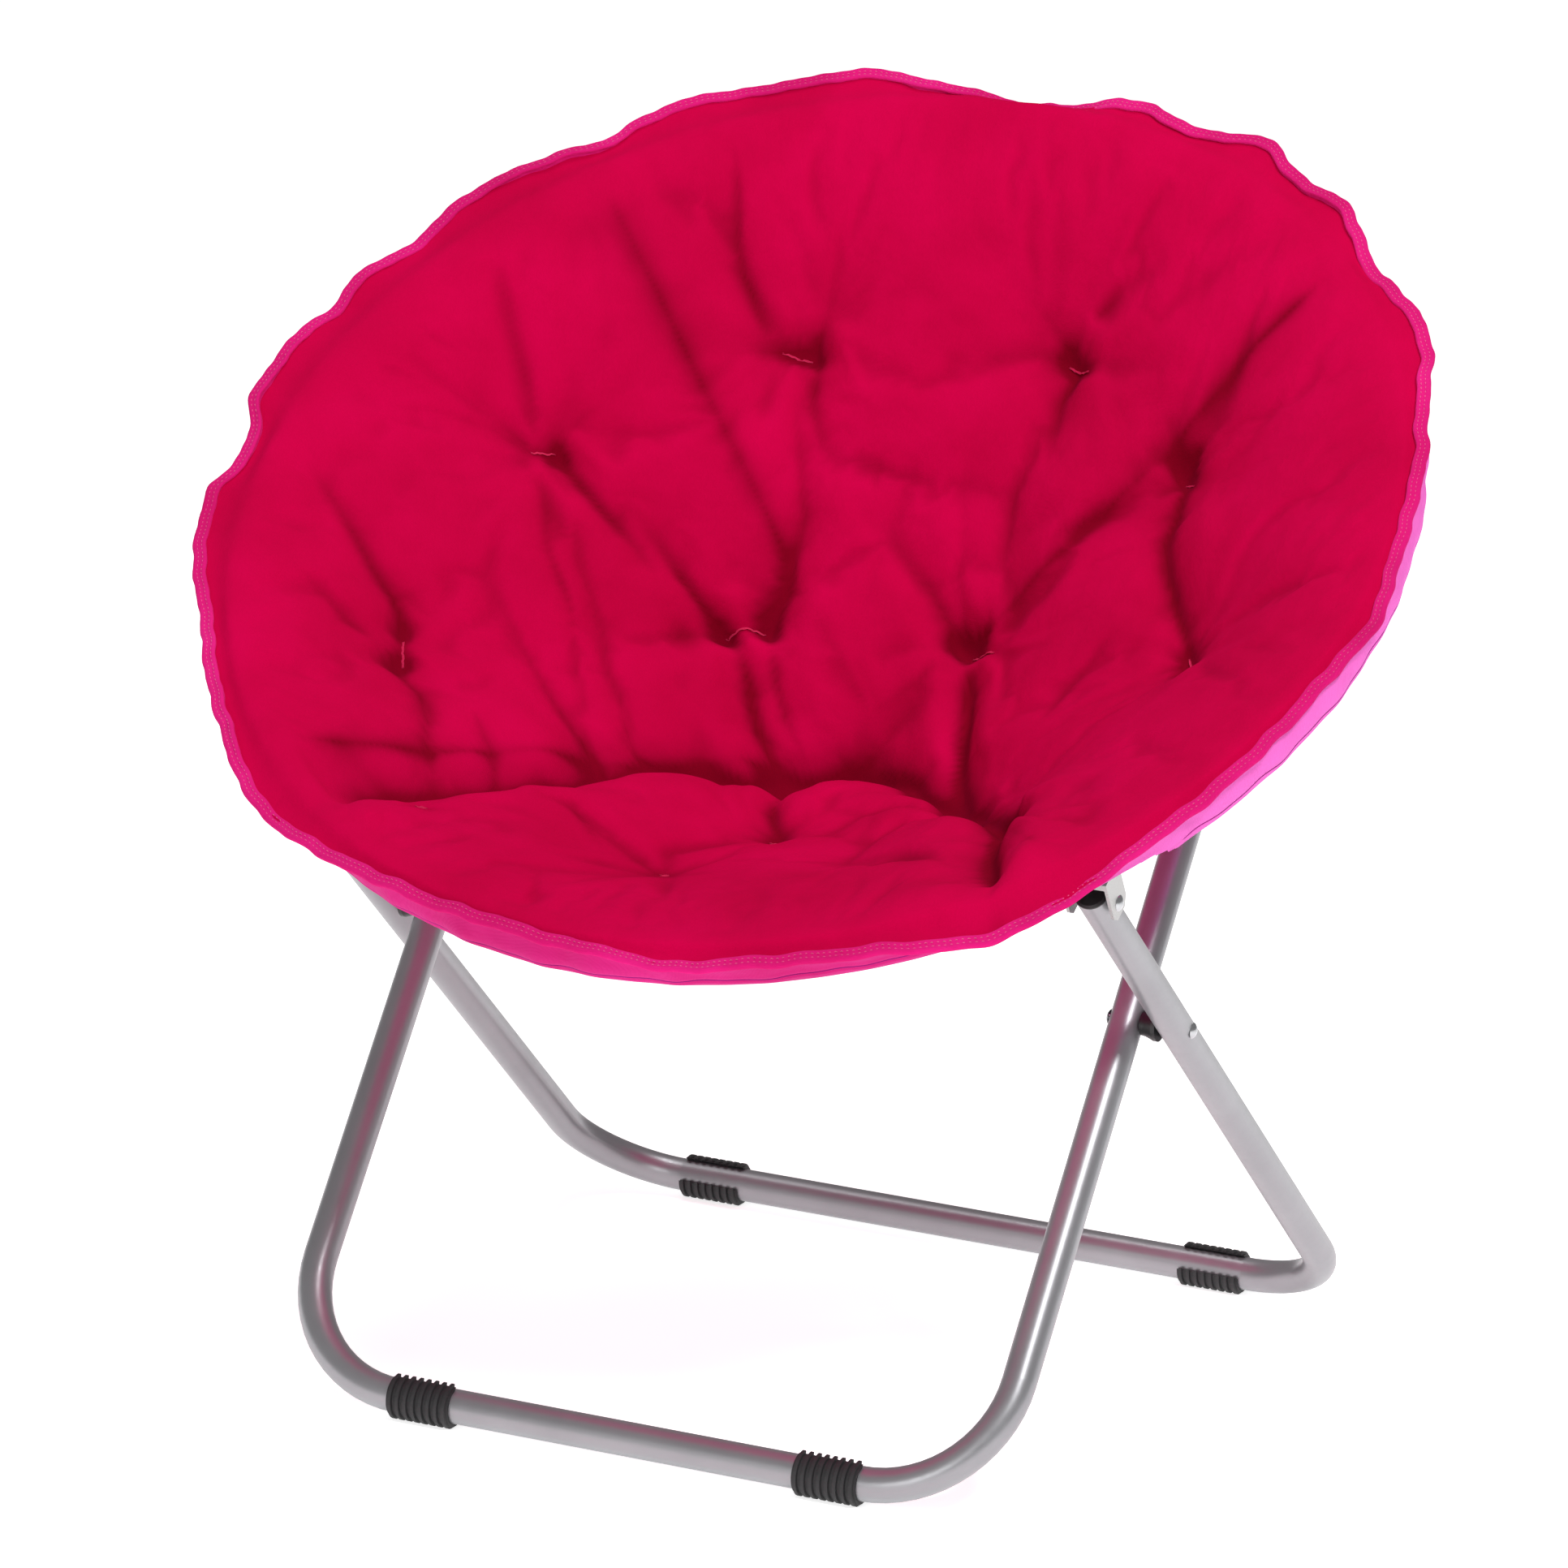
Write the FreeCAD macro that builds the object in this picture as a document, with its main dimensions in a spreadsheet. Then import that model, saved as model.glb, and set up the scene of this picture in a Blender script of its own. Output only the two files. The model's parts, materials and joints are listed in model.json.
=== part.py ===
import FreeCAD, Part
import Sketcher
import math
import os

# Folding saucer chair: a round padded dish on a two-part tube ring, carried by
# two U-shaped legs that cross in a scissor.  Millimetres, +Z up, the front of
# the seat faces -Y, origin on the floor under the middle of the chair.

V = FreeCAD.Vector
ROT = FreeCAD.Rotation
PL = FreeCAD.Placement

doc = FreeCAD.newDocument("saucer_chair")

# ---------------------------------------------------------------- sizes
SIZES = [
    ("tube_d", "22"),            # leg and ring tube, outside diameter
    ("wall", "1.2"),             # tube wall
    ("bend_r", "82"),            # centre-line radius of the front frame's floor corners
    ("rear_bend_r", "69"),       # the same on the rear frame
    ("foot_wall", "3"),          # rubber under the floor bars
    ("front_half_w", "241.5"),   # front leg frame, half width at the centre line
    ("rear_half_w", "275"),      # rear leg frame, half width at the centre line
    ("front_bar", "195.8"),      # floor bar of the front frame, ahead of the scissor pivot
    ("rear_bar", "327.5"),       # floor bar of the rear frame, behind the scissor pivot
    ("pivot_rise", "261.8"),     # scissor pivot above the floor bars
    ("front_reach", "500"),      # scissor pivot to ring pivot on the front frame
    ("rear_reach", "187.5"),     # scissor pivot to ring pivot on the rear frame
    ("end_over", "9"),           # tube beyond its ring pivot
    ("ring_r", "373"),           # ring tube, centre-line radius
    ("ring_tilt", "33.7"),       # ring plane above the horizontal
    ("ring_y", "35.1"),          # ring centre behind the scissor pivot
    ("ring_z", "555.7"),         # ring centre above the floor
    ("hinge_fwd", "90"),         # ring hinge line ahead of the ring centre
    ("hinge_end", "25"),         # round tube stops this far from the hinge pin
    ("tang_t", "4"),             # flattened tube end, thickness
    ("tang_h", "12"),            # flattened tube end, half height
    ("tang_gap", "0.3"),         # half the gap between the two flattened ends
    ("pin_d", "8"),              # ring hinge pin
    ("shift_y", "-26.4"),        # puts the origin under the middle of the chair
    ("rivet_d", "6"),            # scissor and bracket rivets
    ("head_r", "5.2"),           # rivet head
    ("head_rise", "2.4"),
    ("run_gap", "0.05"),         # radial play of a turning rivet
    ("bracket_w", "31"),         # bracket, outside width
    ("bracket_t", "2"),          # bracket sheet
    ("bracket_l", "21"),         # bracket length along the ring plane
    ("sleeve_in", "11.25"),      # fabric sleeve on the ring tube
    ("sleeve_out", "14.2"),
    ("rim_r", "394.5"),          # bound edge of the cover
    ("rim_v", "17.5"),
    ("rim_bead", "4"),
    ("pad_r", "358"),            # padded dish, outer radius
    ("pad_deep", "190"),         # depth of the dish
    ("pad_rim", "8"),            # top of the dish edge over the ring tube centre
    ("pad_t", "24"),             # thickness in the middle
    ("pad_te", "15"),            # thickness at the edge
    ("front_cut_r", "338"),      # the dish stays inside this circle at the front
    ("lip_in", "342"),           # padded front lip
    ("lip_out", "358.3"),
    ("foot_l", "43"),            # rubber foot clip length
    ("foot_x_front", "140"),     # foot centres, half spacing
    ("foot_x_rear", "183.5"),
    ("rib_d", "29.2"),           # foot rib diameter, ground flat underneath
    ("groove_d", "26"),
]
sheet = doc.addObject("Spreadsheet::Sheet", "Sizes")
for i, (key, val) in enumerate(SIZES):
    sheet.set("A%d" % (i + 1), key)
    sheet.set("B%d" % (i + 1), val)
    sheet.setAlias("B%d" % (i + 1), key)
doc.recompute()


def g(key):
    return float(sheet.get(key))


TR = g("tube_d") / 2.0
ZB = TR + g("foot_wall")                       # centre of the floor bars
SY = g("shift_y")
LA0 = math.hypot(g("front_bar"), g("pivot_rise"))
LB0 = math.hypot(g("rear_bar"), g("pivot_rise"))
ANG_A = math.degrees(math.atan2(g("pivot_rise"), g("front_bar")))
ANG_B = 180.0 - math.degrees(math.atan2(g("pivot_rise"), g("rear_bar")))
TILT = g("ring_tilt")
PIV = V(0, SY, ZB + g("pivot_rise"))           # scissor pivot, middle
XH = math.sqrt(g("ring_r") ** 2 - g("hinge_fwd") ** 2)
HANG = math.degrees(math.asin(g("hinge_fwd") / g("ring_r")))
DEL = math.degrees(g("hinge_end") / g("ring_r"))

front_frame = PL(V(0, SY - g("front_bar"), ZB), ROT(V(1, 0, 0), ANG_A))
rear_frame = PL(V(0, SY + g("rear_bar"), ZB), ROT(V(1, 0, 0), ANG_B))
ring_frame = PL(V(0, SY + g("ring_y"), g("ring_z")), ROT(V(1, 0, 0), TILT))

TO_X = ROT(V(0, 1, 0), 90)                      # a cylinder's axis to +X
TO_Y = ROT(V(1, 0, 0), -90)                     # a cylinder's axis to +Y

nodes = []


def keep(obj, label, place=None):
    obj.Label = label
    if place is not None:
        obj.Placement = place
    nodes.append((label, obj))
    return obj


def bind(obj, **exprs):
    for prop, ex in exprs.items():
        obj.setExpression(prop, ex)
    return obj


def cyl(name, radius, height, base, rot):
    o = doc.addObject("Part::Cylinder", name)
    bind(o, Radius=radius, Height=height)
    o.Placement = PL(base, rot)
    return o


def box(name, lx, ly, lz, base, rot=None):
    o = doc.addObject("Part::Box", name)
    bind(o, Length=lx, Width=ly, Height=lz)
    o.Placement = PL(base, rot if rot is not None else ROT())
    return o


def fuse(name, parts):
    o = doc.addObject("Part::MultiFuse", name)
    o.Shapes = parts
    o.Refine = True
    return o


def cut(name, base, tool):
    o = doc.addObject("Part::Cut", name)
    o.Base = base
    o.Tool = tool
    return o


def cap(name, base, rot):
    """Domed rivet head: a cap of a sphere whose flat side is at base."""
    o = doc.addObject("Part::Sphere", name)
    rs = "((Sizes.head_r^2 + Sizes.head_rise^2) / (2 * Sizes.head_rise))"
    bind(o, Radius=rs, Angle1="asin((%s - Sizes.head_rise) / %s)" % (rs, rs))
    r = (g("head_r") ** 2 + g("head_rise") ** 2) / (2 * g("head_rise"))
    o.Placement = PL(base - rot.multVec(V(0, 0, r - g("head_rise"))), rot)
    return o


def plane(body, role):
    for f in body.Origin.OriginFeatures:
        if f.Role == role:
            return f
    raise RuntimeError(role)


def profile(body, name, role, pts):
    """Closed polyline sketch; each corner is held to the axes by the sheet."""
    sk = body.newObject("Sketcher::SketchObject", name)
    sk.AttachmentSupport = [(plane(body, role), "")]
    sk.MapMode = "FlatFace"
    vals = []
    for ex, ey in pts:
        vals.append((worth(ex), worth(ey)))
    n = len(pts)
    for k in range(n):
        a, b = vals[k], vals[(k + 1) % n]
        sk.addGeometry(Part.LineSegment(V(a[0], a[1], 0), V(b[0], b[1], 0)), False)
    for k in range(n):
        sk.addConstraint(Sketcher.Constraint("Coincident", k, 2, (k + 1) % n, 1))
    for k in range(n):
        for axis, ex, val in (("X", pts[k][0], vals[k][0]), ("Y", pts[k][1], vals[k][1])):
            if abs(val) < 1e-9:
                sk.addConstraint(Sketcher.Constraint("PointOnObject", k, 1, -2 if axis == "X" else -1))
                continue
            if val > 0:
                idx = sk.addConstraint(Sketcher.Constraint("Distance" + axis, -1, 1, k, 1, val))
                sk.setExpression("Constraints[%d]" % idx, ex)
            else:
                idx = sk.addConstraint(Sketcher.Constraint("Distance" + axis, k, 1, -1, 1, -val))
                sk.setExpression("Constraints[%d]" % idx, "-(%s)" % ex)
    return sk


known = {}
work = doc.addObject("Spreadsheet::Sheet", "Work")


def worth(expression):
    """Value of a length expression over the sheet, worked out in a spare cell."""
    if expression not in known:
        work.set("A1", "=" + expression)
        work.recompute()
        known[expression] = float(work.get("A1"))
    return known[expression]


def turned(name, pts, label, place):
    """Turned piece: half profile in XZ (x = radius, z = length) about Z."""
    body = doc.addObject("PartDesign::Body", name)
    sk = profile(body, name + "_profile", "XZ_Plane", pts)
    rev = body.newObject("PartDesign::Revolution", name + "_turn")
    rev.Profile = sk
    rev.ReferenceAxis = (sk, ["V_Axis"])
    rev.Angle = 360
    body.Tip = rev
    return keep(body, label, place)


# ---------------------------------------------------------------- leg frames
def leg_frame(name, half_w, bar, reach, bend, body_holes):
    """U of bent tube in its own plane: floor bar on X, legs along +Y."""
    hw = g(half_w)
    rb = g(bend)
    l0 = "sqrt(Sizes.%s^2 + Sizes.pivot_rise^2)" % bar
    leg_len = "%s + Sizes.%s + Sizes.end_over - Sizes.%s" % (l0, reach, bend)
    solids = []
    for tag, rad, extra in (("out", "Sizes.tube_d / 2", ""), ("in", "Sizes.tube_d / 2 - Sizes.wall", " + 1")):
        parts = [cyl("%s_%s_bar" % (name, tag), rad, "2 * (Sizes.%s - Sizes.%s)" % (half_w, bend),
                     V(-(hw - rb), 0, 0), TO_X)]
        for side in (1, -1):
            t = doc.addObject("Part::Torus", "%s_%s_bend%s" % (name, tag, "R" if side > 0 else "L"))
            bind(t, Radius1="Sizes." + bend, Radius2=rad)
            t.Angle3 = 90
            t.Placement = PL(V(side * (hw - rb), rb, 0), ROT(V(0, 0, 1), -90 if side > 0 else 180))
            parts.append(t)
            parts.append(cyl("%s_%s_leg%s" % (name, tag, "R" if side > 0 else "L"), rad,
                             leg_len + extra, V(side * hw, rb, 0), TO_Y))
        solids.append(fuse("%s_%s" % (name, tag), parts))
    tools = [solids[1]]
    for side in (1, -1):
        for k, (dist, play) in enumerate(body_holes):
            y = worth(dist)
            tools.append(cyl("%s_hole%d%s" % (name, k, "R" if side > 0 else "L"),
                             "Sizes.rivet_d / 2 + %s" % play, "Sizes.tube_d + 8",
                             V(side * hw - TR - 4, y, 0), TO_X))
    tool = doc.addObject("Part::MultiFuse", name + "_tools")
    tool.Shapes = tools
    return cut(name, solids[0], tool)


LA = "sqrt(Sizes.front_bar^2 + Sizes.pivot_rise^2)"
LB = "sqrt(Sizes.rear_bar^2 + Sizes.pivot_rise^2)"
keep(leg_frame("front_leg", "front_half_w", "front_bar", "front_reach", "bend_r",
               [(LA, "Sizes.run_gap"), (LA + " + Sizes.front_reach", "Sizes.run_gap")]),
     "front_leg_frame", front_frame)
keep(leg_frame("rear_leg", "rear_half_w", "rear_bar", "rear_reach", "rear_bend_r",
               [(LB, "0.01")]),
     "rear_leg_frame", rear_frame)


# Plastic plugs in the four open tube ends.
PLUG = [("0", "-12"), ("Sizes.tube_d / 2 - Sizes.wall - 0.05", "-12"),
        ("Sizes.tube_d / 2 - Sizes.wall - 0.05", "0.02"), ("Sizes.tube_d / 2", "0.02"),
        ("Sizes.tube_d / 2", "1.2"), ("Sizes.tube_d / 2 - 1.6", "2.2"), ("0", "2.4")]
# the plug's skirt is short of the front frame's ring rivet, so it is cut back
PLUG_A = [("0", "-4"), ("Sizes.tube_d / 2 - Sizes.wall - 0.05", "-4")] + PLUG[2:]
for frame_name, place, hw, length, pts in (
        ("front_leg", front_frame, g("front_half_w"), LA0 + g("front_reach") + g("end_over"), PLUG_A),
        ("rear_leg", rear_frame, g("rear_half_w"), LB0 + g("rear_reach") + g("end_over"), PLUG)):
    for side, tag in ((1, "right"), (-1, "left")):
        local = PL(V(side * hw, length, 0), TO_Y)
        turned("%s_plug_%s" % (frame_name, tag), pts, "%s_plug_%s" % (frame_name, tag),
               place.multiply(local))

# ---------------------------------------------------------------- scissor pivots
gap_in = g("front_half_w") + TR                # outer side of the front frame's tube
gap_out = g("rear_half_w") - TR                # inner side of the rear frame's tube
for side, tag in ((1, "right"), (-1, "left")):
    x0 = g("front_half_w") - TR - 0.15
    x1 = g("rear_half_w") + TR + 0.02
    shank = cyl("scissor_shank_" + tag, "Sizes.rivet_d / 2",
                "Sizes.rear_half_w - Sizes.front_half_w + Sizes.tube_d + 0.17",
                V(x0, 0, 0), TO_X)
    heads = [cap("scissor_head_a_" + tag, V(x1, 0, 0), TO_X),
             cap("scissor_head_b_" + tag, V(x0, 0, 0), ROT(V(0, 1, 0), -90))]
    rivet = fuse("scissor_rivet_" + tag, [shank] + heads)
    turn = ROT(V(0, 0, 1), 0 if side > 0 else 180)
    keep(rivet, "scissor_rivet_" + tag, PL(PIV, turn))
    # black spacer between the crossing tubes, wider towards the rear frame
    sp = [("Sizes.rivet_d / 2 + 0.1", "0"), ("8", "0"), ("8.4", "3"), ("9.6", "6.5"), ("10.4", "8.5"),
          ("10.4", "Sizes.rear_half_w - Sizes.front_half_w - Sizes.tube_d - 0.3"),
          ("Sizes.rivet_d / 2 + 0.1", "Sizes.rear_half_w - Sizes.front_half_w - Sizes.tube_d - 0.3")]
    turned("scissor_spacer_" + tag, sp, "scissor_spacer_" + tag,
           PL(V(side * (gap_in + 0.2), PIV.y, PIV.z),
              ROT(V(0, 1, 0), 90 if side > 0 else -90)))

# ---------------------------------------------------------------- rubber feet
# Ribbed clips, open towards the inside of each U.
def foot(name, label, frame_place, x):
    body = doc.addObject("PartDesign::Body", name)
    n = 8
    pitch = "Sizes.foot_l / %d" % n
    pts = [("Sizes.tube_d / 2 + 0.05", "0")]
    for k in range(n):
        z0 = "%d * %s" % (k, pitch)
        pts.append(("Sizes.groove_d / 2", z0 if k else "0"))
        pts.append(("Sizes.groove_d / 2", "%s + 1.1" % z0))
        pts.append(("Sizes.rib_d / 2", "%s + 1.6" % z0))
        pts.append(("Sizes.rib_d / 2", "%s + 3.8" % z0))
        pts.append(("Sizes.groove_d / 2", "%s + 4.3" % z0))
    pts.append(("Sizes.groove_d / 2", "Sizes.foot_l"))
    pts.append(("Sizes.tube_d / 2 + 0.05", "Sizes.foot_l"))
    sk = profile(body, name + "_profile", "XZ_Plane", pts)
    rev = body.newObject("PartDesign::Revolution", name + "_ring")
    rev.Profile = sk
    rev.ReferenceAxis = (sk, ["V_Axis"])
    rev.Angle = 360
    body.Tip = rev
    doc.recompute()
    full = rev.Shape.Volume
    slot = profile(body, name + "_slot", "XY_Plane",
                   [("-8.5", "0"), ("8.5", "0"), ("8.5", "20"), ("-8.5", "20")])
    pk = body.newObject("PartDesign::Pocket", name + "_open")
    pk.Profile = slot
    pk.Type = 1
    pk.Midplane = False
    body.Tip = pk
    doc.recompute()
    if pk.Shape.isNull() or pk.Shape.Volume > full - 50:
        pk.Reversed = not pk.Reversed
        doc.recompute()
    if pk.Shape.Volume > full - 50:
        raise RuntimeError("foot opening not cut")
    # own Z to the bar's X, own +Y (the opening) to the leg direction
    local = PL(V(x - g("foot_l") / 2.0, 0, 0), TO_X)
    place = frame_place.multiply(local)
    # flat underside, level with the floor in the open chair
    under = frame_place.multVec(V(x, 0, 0))
    floor = box(name + "_floor", "60", "60", "20", V(0, 0, 0))
    floor.Placement = place.inverse().multiply(PL(V(under.x - 30, under.y - 30, -20), ROT()))
    return keep(cut(name + "_cut", body, floor), label, place)


for side, tag in ((1, "right"), (-1, "left")):
    foot("foot_front_" + tag, "foot_front_" + tag, front_frame, side * g("foot_x_front"))
    foot("foot_rear_" + tag, "foot_rear_" + tag, rear_frame, side * g("foot_x_rear"))


# ---------------------------------------------------------------- ring tubes
def arc_tube(name, start, span_expr):
    out = []
    for tag, rad in (("out", "Sizes.tube_d / 2"), ("in", "Sizes.tube_d / 2 - Sizes.wall")):
        t = doc.addObject("Part::Torus", name + "_" + tag)
        bind(t, Radius1="Sizes.ring_r", Radius2=rad, Angle3=span_expr)
        t.Placement = PL(V(0, 0, 0), ROT(V(0, 0, 1), start))
        out.append(t)
    return cut(name + "_tube", out[0], out[1])


HANG_E = "asin(Sizes.hinge_fwd / Sizes.ring_r)"
DEL_E = "(Sizes.hinge_end / Sizes.ring_r * 180deg / pi)"


def tang(name, side, outer, back):
    """Flattened end: a plate square to X with a round nose about the hinge."""
    t = g("tang_t")
    x = XH + g("tang_gap") if outer else XH - g("tang_gap") - t
    hy = -g("hinge_fwd")
    length = g("hinge_end") + 11
    xb = x if side > 0 else -x - t
    b = box(name + "_plate", "Sizes.tang_t", "Sizes.hinge_end + 11", "2 * Sizes.tang_h",
            V(xb, hy if back else hy - length, -g("tang_h")))
    c = cyl(name + "_nose", "Sizes.tang_h", "Sizes.tang_t", V(xb, hy, 0), TO_X)
    return [b, c]


def ring_part(name, label, start, span, outer, back, play, bracket_xs):
    parts = [arc_tube(name, start, span)]
    tools = []
    for side, tag in ((1, "R"), (-1, "L")):
        parts += tang(name + "_tang" + tag, side, outer, back)
        tools.append(cyl(name + "_hole" + tag, "Sizes.pin_d / 2 + %s" % play, "24",
                         V(side * XH - 12, -g("hinge_fwd"), 0), TO_X))
    solid = fuse(name + "_solid", parts)
    tool = doc.addObject("Part::MultiFuse", name + "_holes")
    tool.Shapes = tools
    return keep(cut(name, solid, tool), label, ring_frame)


ring_part("ring_rear", "ring_rear_arc", -(HANG - DEL),
          "180deg + 2 * (%s - %s)" % (HANG_E, DEL_E), True, True, "0.01", None)
ring_part("ring_front", "ring_front_arc", 180 + HANG + DEL,
          "180deg - 2 * (%s + %s)" % (HANG_E, DEL_E), False, False, "Sizes.run_gap", None)

for side, tag in ((1, "right"), (-1, "left")):
    half = g("tang_gap") + g("tang_t")
    shank = cyl("hinge_shank_" + tag, "Sizes.pin_d / 2", "2 * (Sizes.tang_gap + Sizes.tang_t) + 0.2",
                V(-half - 0.15, 0, 0), TO_X)
    heads = []
    for k, (xx, rot) in enumerate(((half + 0.05, TO_X), (-half - 0.15, ROT(V(0, 1, 0), -90)))):
        h = doc.addObject("Part::Cylinder", "hinge_head%d_%s" % (k, tag))
        bind(h, Radius="Sizes.pin_d / 2 + 2.4", Height="2")
        h.Placement = PL(V(xx, 0, 0), rot)
        heads.append(h)
    pin = fuse("hinge_pin_" + tag, [shank] + heads)
    turn = ROT(V(0, 0, 1), 0 if side > 0 else 180)
    keep(pin, "hinge_pin_" + tag,
         ring_frame.multiply(PL(V(side * XH, -g("hinge_fwd"), 0), turn)))


# ---------------------------------------------------------------- brackets
def to_ring(pt):
    return ring_frame.inverse().multVec(pt)


A_PT = to_ring(front_frame.multVec(V(0, LA0 + g("front_reach"), 0)))
B_PT = to_ring(rear_frame.multVec(V(0, LB0 + g("rear_reach"), 0)))


def bracket(name, label, side, x, pt, base_back):
    """U of sheet metal seated on the underside of the ring tube: pad the ear
    outline across the full width, then pocket the space between the ears."""
    top = -8.6 - pt.z                         # base top over the rivet
    base = -13.4 - pt.z                       # underside of the base over the rivet
    body = doc.addObject("PartDesign::Body", name)
    outline = [("-Sizes.bracket_l / 2", "%.4f" % top), ("-Sizes.bracket_l / 2", "-3.6"),
               ("-Sizes.bracket_l / 2 + 4.2", "-8.4"), ("Sizes.bracket_l / 2 - 5", "-8.4"),
               ("Sizes.bracket_l / 2", "-2.6"), ("Sizes.bracket_l / 2", "%.4f" % top)]
    sk = profile(body, name + "_ear", "YZ_Plane", outline)
    pad = body.newObject("PartDesign::Pad", name + "_pad")
    pad.Profile = sk
    pad.setExpression("Length", "Sizes.bracket_w")
    pad.Midplane = True
    body.Tip = pad
    doc.recompute()
    full = pad.Shape.Volume
    sk2 = profile(body, name + "_gap", "XZ_Plane",
                  [("-(Sizes.bracket_w / 2 - Sizes.bracket_t)", "-20"),
                   ("Sizes.bracket_w / 2 - Sizes.bracket_t", "-20"),
                   ("Sizes.bracket_w / 2 - Sizes.bracket_t", "%.4f" % base),
                   ("-(Sizes.bracket_w / 2 - Sizes.bracket_t)", "%.4f" % base)])
    pk = body.newObject("PartDesign::Pocket", name + "_channel")
    pk.Profile = sk2
    pk.Type = 1
    pk.Midplane = True
    body.Tip = pk
    doc.recompute()
    if pk.Shape.Volume > full * 0.75:
        raise RuntimeError("bracket channel not cut")
    if base_back is not None:
        # the base reaches back only this far; the leg end swings past it
        before = pk.Shape.Volume
        sk3 = profile(body, name + "_back", "XY_Plane",
                      [("-(Sizes.bracket_w / 2 - Sizes.bracket_t)", "%.4f" % base_back),
                       ("Sizes.bracket_w / 2 - Sizes.bracket_t", "%.4f" % base_back),
                       ("Sizes.bracket_w / 2 - Sizes.bracket_t", "40"),
                       ("-(Sizes.bracket_w / 2 - Sizes.bracket_t)", "40")])
        pk = body.newObject("PartDesign::Pocket", name + "_relief")
        pk.Profile = sk3
        pk.Type = 1
        pk.Midplane = True
        body.Tip = pk
        doc.recompute()
        if pk.Shape.Volume > before - 100:
            raise RuntimeError("bracket relief not cut")
    body.Placement = PL(V(side * x, pt.y, pt.z), ROT())
    # the base is pressed to the ring tube
    seat = doc.addObject("Part::Torus", name + "_seat")
    bind(seat, Radius1="Sizes.ring_r", Radius2="Sizes.tube_d / 2 + 0.02")
    holes = cyl(name + "_bore", "Sizes.rivet_d / 2 + 0.01", "Sizes.bracket_w + 8",
                V(side * x - g("bracket_w") / 2 - 4, pt.y, pt.z), TO_X)
    tool = doc.addObject("Part::MultiFuse", name + "_tool")
    tool.Shapes = [seat, holes]
    return keep(cut(name + "_cut", body, tool), label, ring_frame)


for side, tag in ((1, "right"), (-1, "left")):
    bracket("front_bracket_" + tag, "front_bracket_" + tag, side, g("rear_half_w"), B_PT, -3.0)
    bracket("rear_bracket_" + tag, "rear_bracket_" + tag, side, g("front_half_w"), A_PT, None)

# Rear bracket rivets run through the front frame's tube ends; the front
# brackets carry a rivet head and stub in each ear.
half_w = g("bracket_w") / 2
for side, tag in ((1, "right"), (-1, "left")):
    shank = cyl("rear_shank_" + tag, "Sizes.rivet_d / 2", "Sizes.bracket_w + 0.04",
                V(-half_w - 0.02, 0, 0), TO_X)
    heads = [cap("rear_head_a_" + tag, V(half_w + 0.02, 0, 0), TO_X),
             cap("rear_head_b_" + tag, V(-half_w - 0.02, 0, 0), ROT(V(0, 1, 0), -90))]
    keep(fuse("rear_bracket_rivet_" + tag, [shank] + heads), "rear_bracket_rivet_" + tag,
         ring_frame.multiply(PL(V(side * g("front_half_w"), A_PT.y, A_PT.z), ROT())))
    stubs = []
    for k, s2 in ((0, 1), (1, -1)):
        rot = TO_X if s2 > 0 else ROT(V(0, 1, 0), -90)
        sh = cyl("front_stub%d_%s" % (k, tag), "Sizes.rivet_d / 2", "Sizes.bracket_t + 0.02",
                 V(s2 * (half_w - g("bracket_t")), 0, 0), rot)
        stubs.append(sh)
        stubs.append(cap("front_head%d_%s" % (k, tag), V(s2 * (half_w + 0.02), 0, 0), rot))
    keep(fuse("front_bracket_rivet_" + tag, stubs), "front_bracket_rivet_" + tag,
         ring_frame.multiply(PL(V(side * g("rear_half_w"), B_PT.y, B_PT.z), ROT())))


# ---------------------------------------------------------------- cover and pad
def turned_face(name, edges):
    w = Part.Wire(edges)
    return Part.Face(w)


def poly(pts):
    vs = [V(x, 0, z) for x, z in pts]
    return [Part.LineSegment(vs[i], vs[(i + 1) % len(vs)]).toShape() for i in range(len(vs))]


def sector(name, face, start, span):
    """Revolve a face in the XZ plane about Z, starting at an angle."""
    src = doc.addObject("Part::Feature", name + "_face")
    src.Shape = face
    rv = doc.addObject("Part::Revolution", name + "_rev")
    rv.Source = src
    rv.Axis = V(0, 0, 1)
    rv.Base = V(0, 0, 0)
    rv.Angle = span
    rv.Solid = True
    rv.Placement = PL(V(0, 0, 0), ROT(V(0, 0, 1), start))
    return rv


# Sleeve round the ring tube with the flange that carries the bound edge.
ri, ro = g("sleeve_in"), g("sleeve_out")
rr = g("ring_r")


def sleeve_face():
    def c(r, deg):
        a = math.radians(deg)
        return V(rr + r * math.cos(a), 0, r * math.sin(a))
    # outer circle broken where the flange leaves it, between 22 and 62 degrees
    e = [Part.Arc(c(ro, 62), c(ro, 200), c(ro, 382)).toShape()]
    bx, bv = g("rim_r"), g("rim_v")
    p_low = V(bx - 0.6, 0, bv - 4.6)
    p_top = V(bx - 4.6, 0, bv - 0.6)
    e.append(Part.LineSegment(c(ro, 22), p_low).toShape())
    e.append(Part.LineSegment(p_low, p_top).toShape())
    e.append(Part.LineSegment(p_top, c(ro, 62)).toShape())
    outer = Part.Wire(e)
    inner = Part.Wire([Part.Circle(V(rr, 0, 0), V(0, 1, 0), ri).toShape()])
    bead = Part.Wire([Part.Circle(V(bx, 0, bv), V(0, 1, 0), g("rim_bead") + 0.02).toShape()])
    return Part.Face(outer).cut(Part.Face(inner)).cut(Part.Face(bead)).Faces[0]


def bead_face():
    return Part.Face(Part.Wire([Part.Circle(V(g("rim_r"), 0, g("rim_v")), V(0, 1, 0),
                                            g("rim_bead")).toShape()]))


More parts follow.
